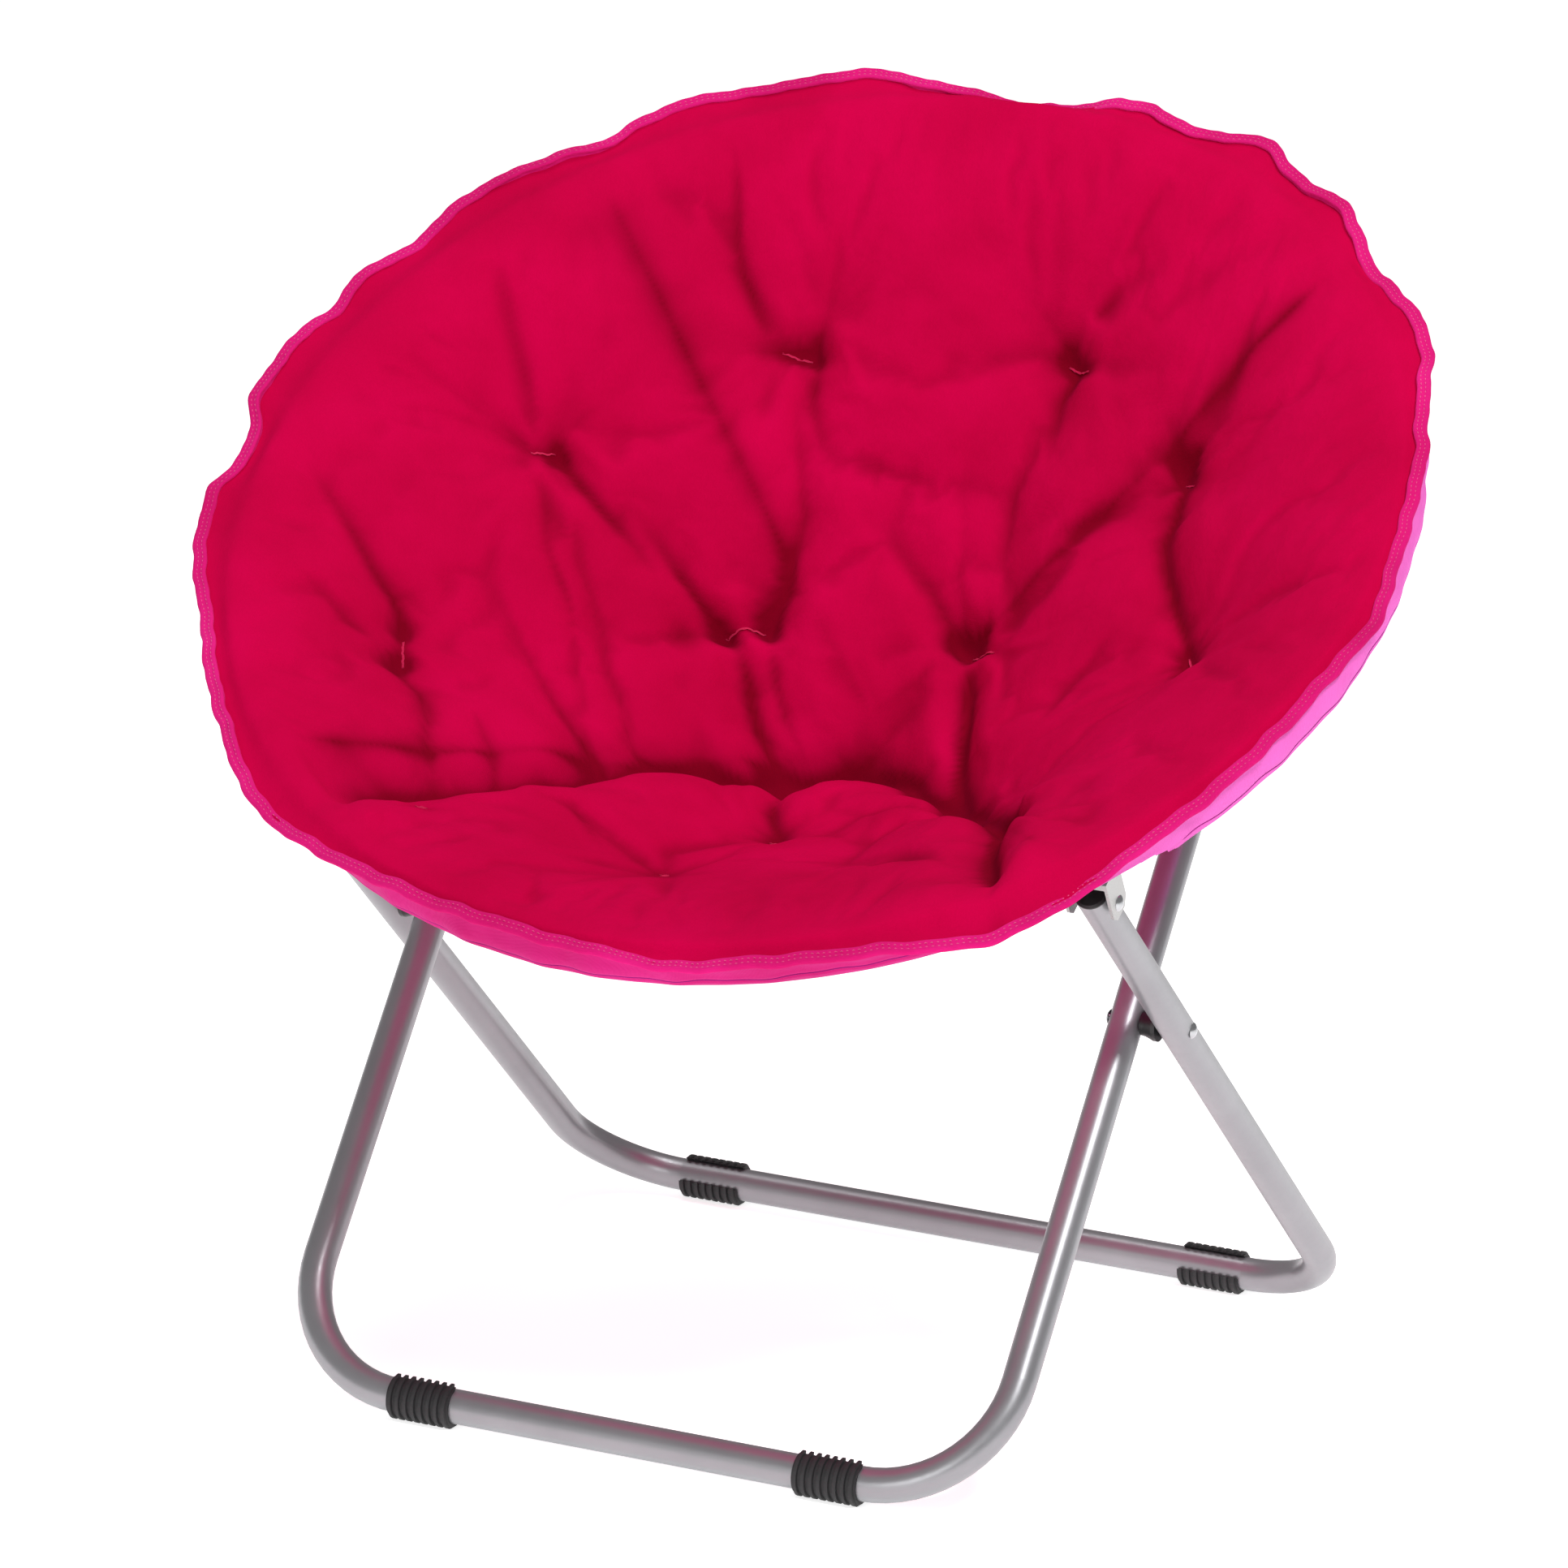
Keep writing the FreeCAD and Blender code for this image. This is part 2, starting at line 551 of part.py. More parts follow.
# the bound edge ends short of the hinge line, the sleeve clear of the plates
rear_start, rear_span = -(HANG - 2.0), 180 + 2 * (HANG - 2.0)
front_start, front_span = 180 + HANG + 5.5, 180 - 2 * (HANG + 5.5)
rear_start_s, rear_span_s = -(HANG - 6.2), 180 + 2 * (HANG - 6.2)
front_start_s, front_span_s = 180 + HANG + 6.2, 180 - 2 * (HANG + 6.2)


def notch_boxes(name, pt, x):
    out = []
    for side, tag in ((1, "R"), (-1, "L")):
        out.append(box("%s_notch%s" % (name, tag), "Sizes.bracket_w + 6", "Sizes.bracket_l + 7", "30",
                       V(side * x - g("bracket_w") / 2 - 3, pt.y - g("bracket_l") / 2 - 3.5, -36)))
        if name == "sleeve_front":
            # the rear frame's tube end swings back past the sleeve
            out.append(box("%s_swing%s" % (name, tag), "Sizes.tube_d + 6", "76", "44",
                           V(side * x - TR - 3, pt.y - 15, -38)))
    return out


def hinge_room(name):
    """Room in the cover for the hinge plates and the pin heads."""
    out = []
    for side, tag in ((1, "R"), (-1, "L")):
        out.append(cyl("%s_room%s" % (name, tag), "Sizes.tang_h + 5", "44",
                       V(side * XH - 22, -g("hinge_fwd"), 0), TO_X))
    return out


for name, label, st, sp, pt, x in (
        ("sleeve_rear", "cover_sleeve_rear", rear_start_s, rear_span_s, A_PT, g("front_half_w")),
        ("sleeve_front", "cover_sleeve_front", front_start_s, front_span_s, B_PT, g("rear_half_w"))):
    rv = sector(name, sleeve_face(), st, sp)
    tool = doc.addObject("Part::MultiFuse", name + "_tool")
    tool.Shapes = notch_boxes(name, pt, x) + hinge_room(name)
    keep(cut(name, rv, tool), label, ring_frame)
for name, label, st, sp in (("edge_rear", "cover_edge_rear", rear_start, rear_span),
                            ("edge_front", "cover_edge_front", front_start, front_span)):
    rv = sector(name, bead_face(), st, sp)
    tool = doc.addObject("Part::MultiFuse", name + "_tool")
    tool.Shapes = hinge_room(name)
    keep(cut(name, rv, tool), label, ring_frame)


# Padded dish: a turned bowl, cut back at the front to the surface that the
# front half of the ring sweeps as it drops.
def dish_face():
    rp, dp, rv_, tm, te = g("pad_r"), g("pad_deep"), g("pad_rim"), g("pad_t"), g("pad_te")

    def top(r):
        return -dp * (1 - (r / rp) ** 1.6) + rv_

    def low(r):
        return top(r) - (tm + (te - tm) * (r / rp) ** 2)

    rs = [rp * k / 12.0 for k in range(13)]
    ct = Part.BSplineCurve()
    ct.interpolate([V(r, 0, top(r)) for r in rs])
    cb = Part.BSplineCurve()
    cb.interpolate([V(r, 0, low(r)) for r in rs])
    return Part.Face(Part.Wire([
        ct.toShape(),
        Part.LineSegment(V(rp, 0, top(rp)), V(rp, 0, low(rp))).toShape(),
        cb.toShape(),
        Part.LineSegment(V(0, 0, low(0)), V(0, 0, top(0))).toShape()]))


dish = sector("dish", dish_face(), 0, 360)


def sweep_tool():
    """Solid swept about the hinge line by everything ahead of front_cut_r."""
    rc, h = g("front_cut_r"), g("hinge_fwd")
    xe = math.sqrt(rc * rc - h * h)
    big = 460.0
    arc = Part.Arc(V(-xe, -h, 0), V(0, -rc, 0), V(xe, -h, 0)).toShape()
    pts = [V(xe, -h, 0), V(big, -h, 0), V(big, -big, 0), V(-big, -big, 0), V(-big, -h, 0), V(-xe, -h, 0)]
    edges = [arc] + [Part.LineSegment(pts[i], pts[i + 1]).toShape() for i in range(5)]
    face = Part.Face(Part.Wire(edges))
    face.rotate(V(0, -h, 0), V(1, 0, 0), -35)
    return face.revolve(V(0, -h, 0), V(1, 0, 0), 138)


swept = doc.addObject("Part::Feature", "front_sweep")
swept.Shape = sweep_tool()
tool = doc.addObject("Part::MultiFuse", "dish_tool")
tool.Shapes = [swept] + hinge_room("dish")
keep(cut("seat_pad", dish, tool), "seat_pad", ring_frame)


# Padded lip on the front half of the ring, between the rear-frame brackets.
def lip_face():
    return Part.Face(Part.Wire(poly([(g("lip_in"), -13), (g("lip_out"), -7),
                                     (g("lip_out"), 7), (g("lip_in"), 2)])))


lip_half = math.degrees(math.asin(246.0 / g("lip_in")))
keep(sector("front_lip", lip_face(), 270 - lip_half, 2 * lip_half), "seat_pad_front_lip",
     ring_frame.multiply(PL(V(0, 0, 0), ROT(V(0, 0, 1), 270 - lip_half))))

doc.removeObject("Work")
doc.recompute()

# ---------------------------------------------------------------- export
bad = [o.Name for o in doc.Objects if ("Invalid" in o.State or "Error" in o.State)]
if bad:
    raise RuntimeError("failed objects: %s" % bad)
os.makedirs("parts", exist_ok=True)
total = Part.Compound([o.Shape for _, o in nodes]).BoundBox
for label, obj in nodes:
    shp = obj.Shape
    if shp.isNull() or not shp.isValid() or not shp.Solids:
        raise RuntimeError("bad shape: %s" % label)
    shp.exportStep(os.path.join("parts", label + ".step"))
    bb = shp.BoundBox
    print("%-28s solids %d vol %10.1f  x %.1f..%.1f y %.1f..%.1f z %.1f..%.1f" % (
        label, len(shp.Solids), shp.Volume, bb.XMin, bb.XMax, bb.YMin, bb.YMax, bb.ZMin, bb.ZMax))
print("all: x %.2f..%.2f y %.2f..%.2f z %.2f..%.2f" % (
    total.XMin, total.XMax, total.YMin, total.YMax, total.ZMin, total.ZMax))
print("pivot P", tuple(round(v, 3) for v in PIV),
      "a", tuple(round(v, 3) for v in ring_frame.multVec(A_PT)),
      "b", tuple(round(v, 3) for v in ring_frame.multVec(B_PT)),
      "hinge", tuple(round(v, 3) for v in ring_frame.multVec(V(0, -g("hinge_fwd"), 0))))
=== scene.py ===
import bpy, bmesh, json, math
import numpy as np
from mathutils import Vector, Matrix

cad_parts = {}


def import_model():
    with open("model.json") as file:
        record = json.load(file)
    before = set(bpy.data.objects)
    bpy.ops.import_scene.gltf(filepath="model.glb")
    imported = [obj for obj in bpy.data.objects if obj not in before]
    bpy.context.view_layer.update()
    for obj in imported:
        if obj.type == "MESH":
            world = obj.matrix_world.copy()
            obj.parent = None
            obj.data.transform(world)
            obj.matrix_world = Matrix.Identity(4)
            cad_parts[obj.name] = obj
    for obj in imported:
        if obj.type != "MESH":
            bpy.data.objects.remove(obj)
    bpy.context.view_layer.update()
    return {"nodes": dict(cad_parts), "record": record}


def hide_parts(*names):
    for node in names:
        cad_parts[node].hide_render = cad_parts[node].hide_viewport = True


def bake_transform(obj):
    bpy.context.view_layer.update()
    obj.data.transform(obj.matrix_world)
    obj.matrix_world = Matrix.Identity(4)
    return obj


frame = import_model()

# Folding saucer chair: padded dish, lining, bound edge and stitching round the
# packed tube frame.  Metres, row frame.
scene = bpy.context.scene
RNG = np.random.default_rng(11)

# ------------------------------------------------------------------ ring frame
TILT = math.radians(33.7)
CT, ST = math.cos(TILT), math.sin(TILT)
CY, CZ = 8.7, 555.7                      # ring centre, mm


def world(x, u, v):
    """Ring coordinates in mm (x across, u back, v up off the ring plane) to row metres."""
    x, u, v = np.broadcast_arrays(np.asarray(x, float), np.asarray(u, float), np.asarray(v, float))
    return np.stack([x, CY + u * CT - v * ST, CZ + u * ST + v * CT], -1) / 1000.0


# Bound edge: outer radius and height by angle (0 front, + to +X, 180 back).
EDGE = [(-180, 390, 2.5), (-177.3, 390, 4), (-174.6, 391, 9), (-172, 392, 14), (-169.5, 391, 16), (-167, 399, 17.5),
        (-164.7, 406, 18), (-160, 405, 18), (-155, 404, 17), (-150, 408, 17), (-145, 410, 18), (-141, 406, 17),
        (-138.7, 401, 16), (-136.5, 399, 16), (-132, 405, 18), (-125, 410.5, 19), (-120, 407, 17), (-116, 402, 15),
        (-112, 409, 18), (-109, 409.5, 19), (-106, 403, 15), (-102.8, 411, 19), (-96, 410, 18), (-92.6, 409, 19),
        (-88.9, 396, 14), (-85, 395, 15), (-81, 406, 18), (-77, 405, 18), (-73, 404, 17), (-68, 399, 17),
        (-64, 395, 16), (-55.6, 396.5, 17), (-48.9, 398, 17), (-41.9, 404, 16), (-36.4, 404, 13), (-28.6, 396, 15.5),
        (-20.8, 391, 18.5), (-14.3, 389, 19.5), (-7.9, 388, 19.5), (-2, 389, 18), (3.1, 390.5, 17), (8, 394, 13), (12.6, 397, 16),
        (19, 396, 16.5), (25.5, 399, 17.5), (31.8, 405, 16), (36.7, 410, 10), (40.8, 408, 11), (46.4, 403, 14),
        (51.7, 398, 17), (58.3, 394, 17.5), (65.3, 391.5, 17.5), (72.5, 388.6, 17), (80, 390.4, 17), (85, 396, 18),
        (88, 393.5, 18), (92, 388.7, 17), (96.2, 388, 17), (102.4, 388.5, 17), (106.7, 391, 17.5), (111, 390, 17),
        (115.4, 394, 18), (119.9, 401, 18), (124.3, 402, 18), (128.7, 397, 17), (133.1, 391, 15), (137.4, 396, 17),
        (141.7, 405, 19), (145.8, 400.5, 17), (149.8, 398.5, 17), (153.8, 410, 20), (157.5, 401.5, 17),
        (161.1, 393, 16), (164.5, 393, 17), (167.9, 399, 18), (171.1, 395.5, 17), (174.1, 391, 10), (177.1, 390, 4)]


def edge_table():
    """Radius and height of the bound edge every quarter of a degree, slightly eased."""
    e = np.array(EDGE, float)
    a = np.arange(-180, 180, 0.25)
    xs = np.concatenate([e[:, 0] - 360, e[:, 0], e[:, 0] + 360])
    g = np.exp(-0.5 * (np.arange(-14, 15) * 0.25 / 0.9) ** 2)
    g /= g.sum()
    out = []
    for col in (1, 2):
        ys = np.interp(a, xs, np.tile(e[:, col], 3))
        out.append(np.convolve(np.concatenate([ys[-14:], ys, ys[:14]]), g, "valid"))
    return a, out[0], out[1]


EDGE_A, EDGE_R, EDGE_V = edge_table()


def edge_at(phi):
    """Outer radius and height of the bound edge at angles phi (radians)."""
    a = np.degrees(phi)
    a = (a + 180.0) % 360.0 - 180.0
    r = np.interp(a, EDGE_A, EDGE_R, period=360) + 0.5 * np.sin(np.radians(a) * 61) + 0.4 * np.sin(np.radians(a) * 97 + 1.0)
    v = np.interp(a, EDGE_A, EDGE_V, period=360) + 0.6 * np.sin(np.radians(a) * 53 + 0.4) + 0.5 * np.sin(np.radians(a) * 29)
    return r, v


# ------------------------------------------------------------------ dish shape
APEX_U = -53.0
DISH_R, DISH_V, DISH_D = 374.0, 14.0, 214.0


def sstep(t):
    t = np.clip(t, 0, 1)
    return t * t * (3 - 2 * t)


def dish(x, u):
    """Plain dish: straight seat ahead of the deepest point, a steeper hollow back."""
    dx, du = x, u - APEX_U
    d = np.hypot(dx, du) + 1e-6
    nx, nu = dx / d, du / d
    b = APEX_U * nu
    D = -b + np.sqrt(b * b - (APEX_U ** 2 - DISH_R ** 2))
    s = d / D
    back = 0.5 + 0.5 * nu
    p = 1.04 + 0.24 * back
    s2 = np.sqrt(s * s + 0.010) - 0.0045
    return DISH_V - DISH_D * (1 - np.minimum(s2, 1.2) ** p)


def over_tube(r, v, lift):
    """Keep the fabric off the ring tube by a smooth maximum."""
    d = np.abs(r - 373)
    tube = np.where(d < lift, np.sqrt(np.maximum(lift ** 2 - d ** 2, 0)), -3.0 * (d - lift))
    k = 4.0
    m = np.maximum(v, tube)
    return m + k * np.log(np.exp((v - m) / k) + np.exp((tube - m) / k)) - k * 0.1


# Tufts: (x, u, direction of the little bar in degrees, its length).
TUFTS = [(-257, -113, -69, 22), (-245, 85, 40, 15), (-115, 210, 12, 19), (77, 232, -23, 20), (184, 149, -32, 11), (237, 4, -63, 12),
         (-99, 35, 30, 26), (62, 52, -18, 22), (-31, -65, 20, 12), (-2, -144, 8, 8), (-29, -233, 20, 6), (121, -109, -36, 12),
         (-170, -262, 10, 8)]

# The seat folds up into the back along one line, and into the right side along another.
SEAT_LINE = [(-210, -351), (-209, -334), (-213, -308), (-210, -281), (-198, -254), (-181, -232), (-160, -209), (-145, -189), (-127, -166), (-118, -144), (-96, -112), (-70, -86), (-45, -70), (-30, -64), (-21, -57), (-3, -41), (18, -38), (50, -49), (85, -79), (120, -110), (159, -143), (183, -166)]
SIDE_LINE = [(183, -166), (188, -192), (207, -236), (252, -321)]

# Folds: (depth mm, width mm, taper 0 from the start, 1 both ends, 2 to the end, points).
FOLDS = [
    (7, 8, 1, [(-186, 311), (-174, 278), (-158, 241), (-139, 222), (-128, 211)]),
    (6, 8, 0, [(-105, 221), (-101, 231), (-92, 246)]),
    (9, 7, 0, [(-106, 210), (-98, 193), (-89, 176), (-76, 154), (-65, 145)]),
    (5, 12, 1, [(-65, 145), (-23, 148), (31, 149)]),
    (11, 8, 2, [(-102, 179), (-87, 138), (-79, 112), (-81, 88), (-80, 68), (-86, 44)]),
    (6, 12, 2, [(-99, 121), (-102, 87), (-101, 60)]),
    (5, 12, 0, [(-119, 202), (-128, 183), (-122, 153)]),
    (5, 8, 0, [(-257, 105), (-272, 126), (-289, 153)]),
    (5, 8, 0, [(-239, 96), (-222, 120)]),
    (4, 10, 0, [(-258, 87), (-271, 88), (-303, 99)]),
    (10, 6, 0, [(-237, 86), (-216, 72), (-180, 51), (-151, 33)]),
    (11, 7, 2, [(-179, 67), (-159, 56), (-135, 43), (-112, 28)]),
    (8, 9, 1, [(-244, 74), (-226, 37), (-202, -2), (-184, -35), (-133, -122)]),
    (9, 9, 2, [(-205, 39), (-178, -2), (-153, -50), (-123, -91), (-106, -109)]),
    (11, 10, 2, [(-237, -30), (-205, -64), (-168, -92), (-135, -117), (-120, -137)]),
    (8, 10, 0, [(-111, 25), (-130, 9), (-141, -6), (-139, -24)]),
    (14, 7, 1, [(-102, 24), (-83, -4), (-65, -32), (-40, -56), (-31, -66)]),
    (9, 8, 1, [(-83, 35), (-65, 1), (-44, -29), (-35, -37)]),
    (4, 10, 0, [(-85, 42), (-59, 58)]),
    (9, 7, 0, [(47, 58), (19, 77), (-6, 100), (-19, 114)]),
    (9, 13, 0, [(43, 65), (30, 90), (24, 122), (20, 147)]),
    (7, 7, 0, [(50, 61), (65, 74)]),
    (6, 10, 0, [(48, 56), (32, 48), (-17, 32)]),
    (16, 7, 1, [(53, 46), (66, 3), (84, -44), (116, -104)]),
    (6, 8, 0, [(63, 243), (47, 255), (28, 268)]),
    (7, 9, 0, [(82, 257), (100, 273)]),
    (11, 9, 0, [(73, 228), (68, 207), (73, 181)]),
    (7, 11, 0, [(62, 238), (24, 226), (13, 212)]),
    (12, 16, 1, [(62, 185), (55, 146), (60, 107), (76, 78)]),
    (6, 7, 0, [(178, 162), (154, 189)]),
    (7, 7, 0, [(184, 161), (196, 170), (211, 181)]),
    (6, 9, 0, [(178, 153), (151, 166)]),
    (12, 8, 1, [(180, 143), (185, 109), (202, 69), (227, 28), (239, 2)]),
    (6, 9, 0, [(240, -7), (221, -25)]),
    (7, 13, 1, [(175, 28), (157, 0), (150, -36)]),
    (5, 14, 1, [(129, 142), (114, 107)]),
    (9, 8, 0, [(-264, -95), (-275, -78), (-305, -53), (-336, -30), (-371, -4)]),
    (6, 9, 0, [(-260, -119), (-290, -117), (-317, -104), (-348, -84)]),
    (10, 8, 0, [(-250, -129), (-231, -142), (-211, -168), (-181, -227)]),
    (8, 9, 2, [(-249, -103), (-219, -121), (-196, -144), (-171, -176), (-157, -205)]),
    (15, 8, 1, [(-30, -65), (-25, -88), (-4, -139)]),
    (5, 12, 1, [(-2, -144), (-23, -168), (-37, -198), (-62, -261)]),
    (6, 8, 0, [(-63, -88), (-33, -146)]),
    (6, 8, 0, [(-51, -83), (-16, -143)]),
    (9, 7, 0, [(117, -104), (68, -65), (50, -63)]),
    (9, 7, 0, [(120, -110), (72, -106), (45, -111), (39, -142)]),
    (11, 8, 0, [(178, -163), (122, -131), (92, -137), (83, -163), (85, -208)]),
    (7, 9, 0, [(-103, -206), (-58, -258)]),
    (6, 8, 0, [(-54, -348), (-70, -304)]),
    (13, 12, 0, [(-30, -62), (-16, -51), (3, -27), (21, -5), (31, 6)]),
    (4, 12, 1, [(-6, 335), (43, 347), (94, 361)]),
    (4, 14, 1, [(299, 1), (329, 15), (366, 12)]),
    (5, 12, 1, [(75, -221), (132, -219), (196, -251)]),
]


def seg_dist(px, pu, pts):
    """Distance to a polyline, and the share of its length at the nearest point."""
    best = np.full(px.shape, 1e9)
    where = np.zeros(px.shape)
    P = np.array(pts, float)
    L = np.hypot(*np.diff(P, axis=0).T)
    tot, run = L.sum(), 0.0
    for i in range(len(P) - 1):
        a, b = P[i], P[i + 1]
        ab = b - a
        t = np.clip(((px - a[0]) * ab[0] + (pu - a[1]) * ab[1]) / (ab @ ab), 0, 1)
        d = np.hypot(px - a[0] - t * ab[0], pu - a[1] - t * ab[1])
        near = d < best
        best = np.where(near, d, best)
        where = np.where(near, (run + t * L[i]) / tot, where)
        run += L[i]
    return best, where


def smooth_noise(x, u, cell, seed):
    """Value noise on a lattice, cubic between the lattice points."""
    rng = np.random.default_rng(seed)
    n = 64
    lat = rng.uniform(-1, 1, (n, n))
    fx, fu = x / cell + 29.3, u / cell + 31.7
    ix, iu = np.floor(fx).astype(int), np.floor(fu).astype(int)
    tx, tu = fx - ix, fu - iu
    tx, tu = tx * tx * tx * (tx * (tx * 6 - 15) + 10), tu * tu * tu * (tu * (tu * 6 - 15) + 10)
    g = lambda a, b: lat[a % n, b % n]
    return ((g(ix, iu) * (1 - tx) + g(ix + 1, iu) * tx) * (1 - tu)
            + (g(ix, iu + 1) * (1 - tx) + g(ix + 1, iu + 1) * tx) * tu)


def side_of(px, pu, pts):
    """+1 on the left of the line's direction, -1 on its right, by the nearest segment."""
    best = np.full(px.shape, 1e9)
    sg = np.zeros(px.shape)
    P = np.array(pts, float)
    for a, b in zip(P[:-1], P[1:]):
        ab = b - a
        t = np.clip(((px - a[0]) * ab[0] + (pu - a[1]) * ab[1]) / (ab @ ab), 0, 1)
        d = np.hypot(px - a[0] - t * ab[0], pu - a[1] - t * ab[1])
        c = ab[0] * (pu - a[1]) - ab[1] * (px - a[0])
        near = d < best
        best = np.where(near, d, best)
        sg = np.where(near, c / np.hypot(*ab), sg)
    return sg


def relief(x, u):
    """Height of the quilting over the plain dish."""
    r = np.hypot(x, u)
    # each stuffed field swells away from its tufts
    near = sum(np.exp(-np.hypot(x - tx, u - tu) / 20.0) for tx, tu, _, _ in TUFTS)
    dmin = np.maximum(-20.0 * np.log(near + 1e-30), 0.0)
    h = 11.0 * (1 - np.exp(-(dmin / 52.0) ** 1.6))
    wx = x + 4 * smooth_noise(x, u, 40, 3)
    wu = u + 4 * smooth_noise(x, u, 40, 4)
    for depth, width, taper, pts in FOLDS:
        d, w = seg_dist(wx, wu, pts)
        k = (1 - 0.85 * w ** 1.5) if taper == 0 else (1 - 0.85 * (1 - w) ** 1.5) if taper == 2 else 0.35 + 0.65 * np.sin(np.pi * w)
        grow = width * (1.0 + 0.5 * (w if taper == 0 else 1 - w if taper == 2 else 0.4))
        h -= depth * k * np.exp(-(d / grow) ** 1.25)
        h += 0.30 * depth * k * np.exp(-((d - 2.4 * grow) / (1.2 * grow)) ** 2)
    # the seat pillow: steep on its own side, running out softly into the back
    d, w = seg_dist(wx, wu, SEAT_LINE)
    sg = side_of(wx, wu, SEAT_LINE)
    ends = sstep(w / 0.10) * (0.45 + 0.55 * sstep((1 - w) / 0.06))
    h -= (24.0 * np.where(sg > 0, np.exp(-(d / 19.0) ** 1.2), np.exp(-(d / 9.0) ** 1.2))) * (0.25 + 0.75 * ends)
    h += np.where(sg > 0, 0, 9.0 * np.exp(-((d - 34) / 26.0) ** 2)) * ends
    d, w = seg_dist(wx, wu, SIDE_LINE)
    sg = side_of(wx, wu, SIDE_LINE)
    h -= 20.0 * np.where(sg > 0, np.exp(-(d / 6.5) ** 1.2), np.exp(-(d / 13.0) ** 1.2)) * (0.55 + 0.45 * sstep((1 - w) / 0.15))
    h += np.where(sg > 0, 10.0 * np.exp(-((d - 26) / 22.0) ** 2), 3.0 * np.exp(-((d - 36) / 20.0) ** 2))
    for k, (tx, tu, ang, ln) in enumerate(TUFTS):
        dx, du = x - tx, u - tu
        a = math.radians(ang)
        al, ac = dx * math.cos(a) + du * math.sin(a), -dx * math.sin(a) + du * math.cos(a)
        d = np.hypot(np.maximum(np.abs(al) - ln / 2, 0), ac)
        deep = 8.0 if ln > 10 else 4.0
        h -= deep * np.exp(-(d / 9.0) ** 1.15) + 0.35 * deep * np.exp(-(d / 26.0) ** 1.3)
        th = np.arctan2(du, dx)
        ray = np.cos((5 + k % 3) * th + 1.7 * k) * np.exp(-d / 26.0) * (1 - np.exp(-(d / 9.0) ** 2))
        h += 0.25 * deep * ray
    # long soft swells, and shorter slack between them
    h += 3.5 * smooth_noise(x, u, 84, 5) + 1.5 * smooth_noise(x, u, 36, 6) + 0.7 * smooth_noise(x * 1.7, u * 0.9, 21, 7)
    # little slack puckers running in from the bound edge
    phi = np.arctan2(x, -u)
    pk = np.sin(phi * 37 + 2.0 * np.sin(phi * 5)) + 0.6 * np.sin(phi * 61 + 1.1)
    amp = 0.35 + 0.65 * np.clip(np.sin(phi * 3 + 0.7) + 0.4 * np.sin(phi * 5), 0, 1)
    h += 0.9 * pk * amp * sstep((r - 322) / 50.0)
    h = -19.0 + 6.0 * np.logaddexp(0, (h + 19.0) / 6.0)
    fade = 1 - sstep((r - 352.0) / 30.0)
    return h * (0.12 + 0.88 * fade)


def top_height(x, u):
    r = np.hypot(x, u)
    phi = np.arctan2(x, -u)
    R, Vr = edge_at(phi)
    lift = 15.5 - 2.6 * np.exp(-((np.abs(np.degrees(phi)) - 180) / 9.0) ** 2)
    body = dish(x, u) + relief(x, u)
    body = over_tube(r, body, lift)
    d, _ = seg_dist(x, u, SIDE_LINE)
    body = body - 3.2 * np.exp(-(d / 5.0) ** 1.3) * sstep((r - 330) / 25.0)
    r0 = 377.0
    xx, uu = r0 * np.sin(phi), -r0 * np.cos(phi)
    at0 = over_tube(np.full_like(r, r0), dish(xx, uu) + relief(xx, uu), lift)
    t = np.clip((r - r0) / (R - 4.0 - r0), 0, 1)
    frill = at0 * (1 - t) + (Vr + 0.7) * t - 3.0 * np.sin(np.pi * t) * sstep((Vr - 7) / 8.0)
    return np.where(r > r0, frill, body)


def low_height(x, u):
    r = np.hypot(x, u)
    phi = np.arctan2(x, -u)
    R, Vr = edge_at(phi)
    thick = 23.0 + 7.0 * (1 - np.exp(-(np.hypot(x, u - APEX_U) / 110.0) ** 2)) * (1 - sstep((r - 250) / 100.0))
    body = dish(x, u) - thick + 2.0 * smooth_noise(x, u, 75, 9)
    # soft hollows where the tufts pull the backing up
    for tx, tu, _, ln in TUFTS:
        body += 0.25 * min(ln, 20) * np.exp(-(np.hypot(x - tx, u - tu) / 24.0) ** 1.4)
    # inside the tube the underside turns up and over it
    up = sstep((r - 347.0) / 12.0)
    tube = np.sqrt(np.maximum(12.2 ** 2 - np.minimum(np.abs(r - 373), 12.2) ** 2, 0))
    body = body * (1 - up) + np.maximum(tube, 1.0) * up
    r0 = 377.0
    t = np.clip((r - r0) / (R - 4.0 - r0), 0, 1)
    at0 = 11.5
    frill = at0 * (1 - t) + (Vr - 1.2) * t - 1.0 * np.sin(np.pi * t)
    return np.where(r > r0, frill, body)


# ------------------------------------------------------------------ mesh helpers
def make(name, verts, faces, smooth=True):
    me = bpy.data.meshes.new(name)
    me.from_pydata([tuple(p) for p in verts], [], [tuple(int(i) for i in f) for f in faces])
    me.update()
    if smooth:
        me.polygons.foreach_set("use_smooth", [True] * len(me.polygons))
    ob = bpy.data.objects.new(name, me)
    scene.collection.objects.link(ob)
    return ob


def disc_grid(n):
    """(n+1)^2 points of a square grid carried onto the unit disc."""
    a = np.linspace(-1, 1, n + 1)
    gx, gy = np.meshgrid(a, a, indexing="ij")
    r = np.maximum(np.abs(gx), np.abs(gy))
    th = np.where(np.abs(gx) >= np.abs(gy),
                  np.pi / 4 * gy / np.where(gx == 0, 1e-9, gx),
                  np.pi / 2 - np.pi / 4 * gx / np.where(gy == 0, 1e-9, gy))
    sign = np.where(np.abs(gx) >= np.abs(gy), np.sign(gx), np.sign(gy))
    X = r * np.cos(th) * sign
    Y = r * np.sin(th) * sign
    return X, Y


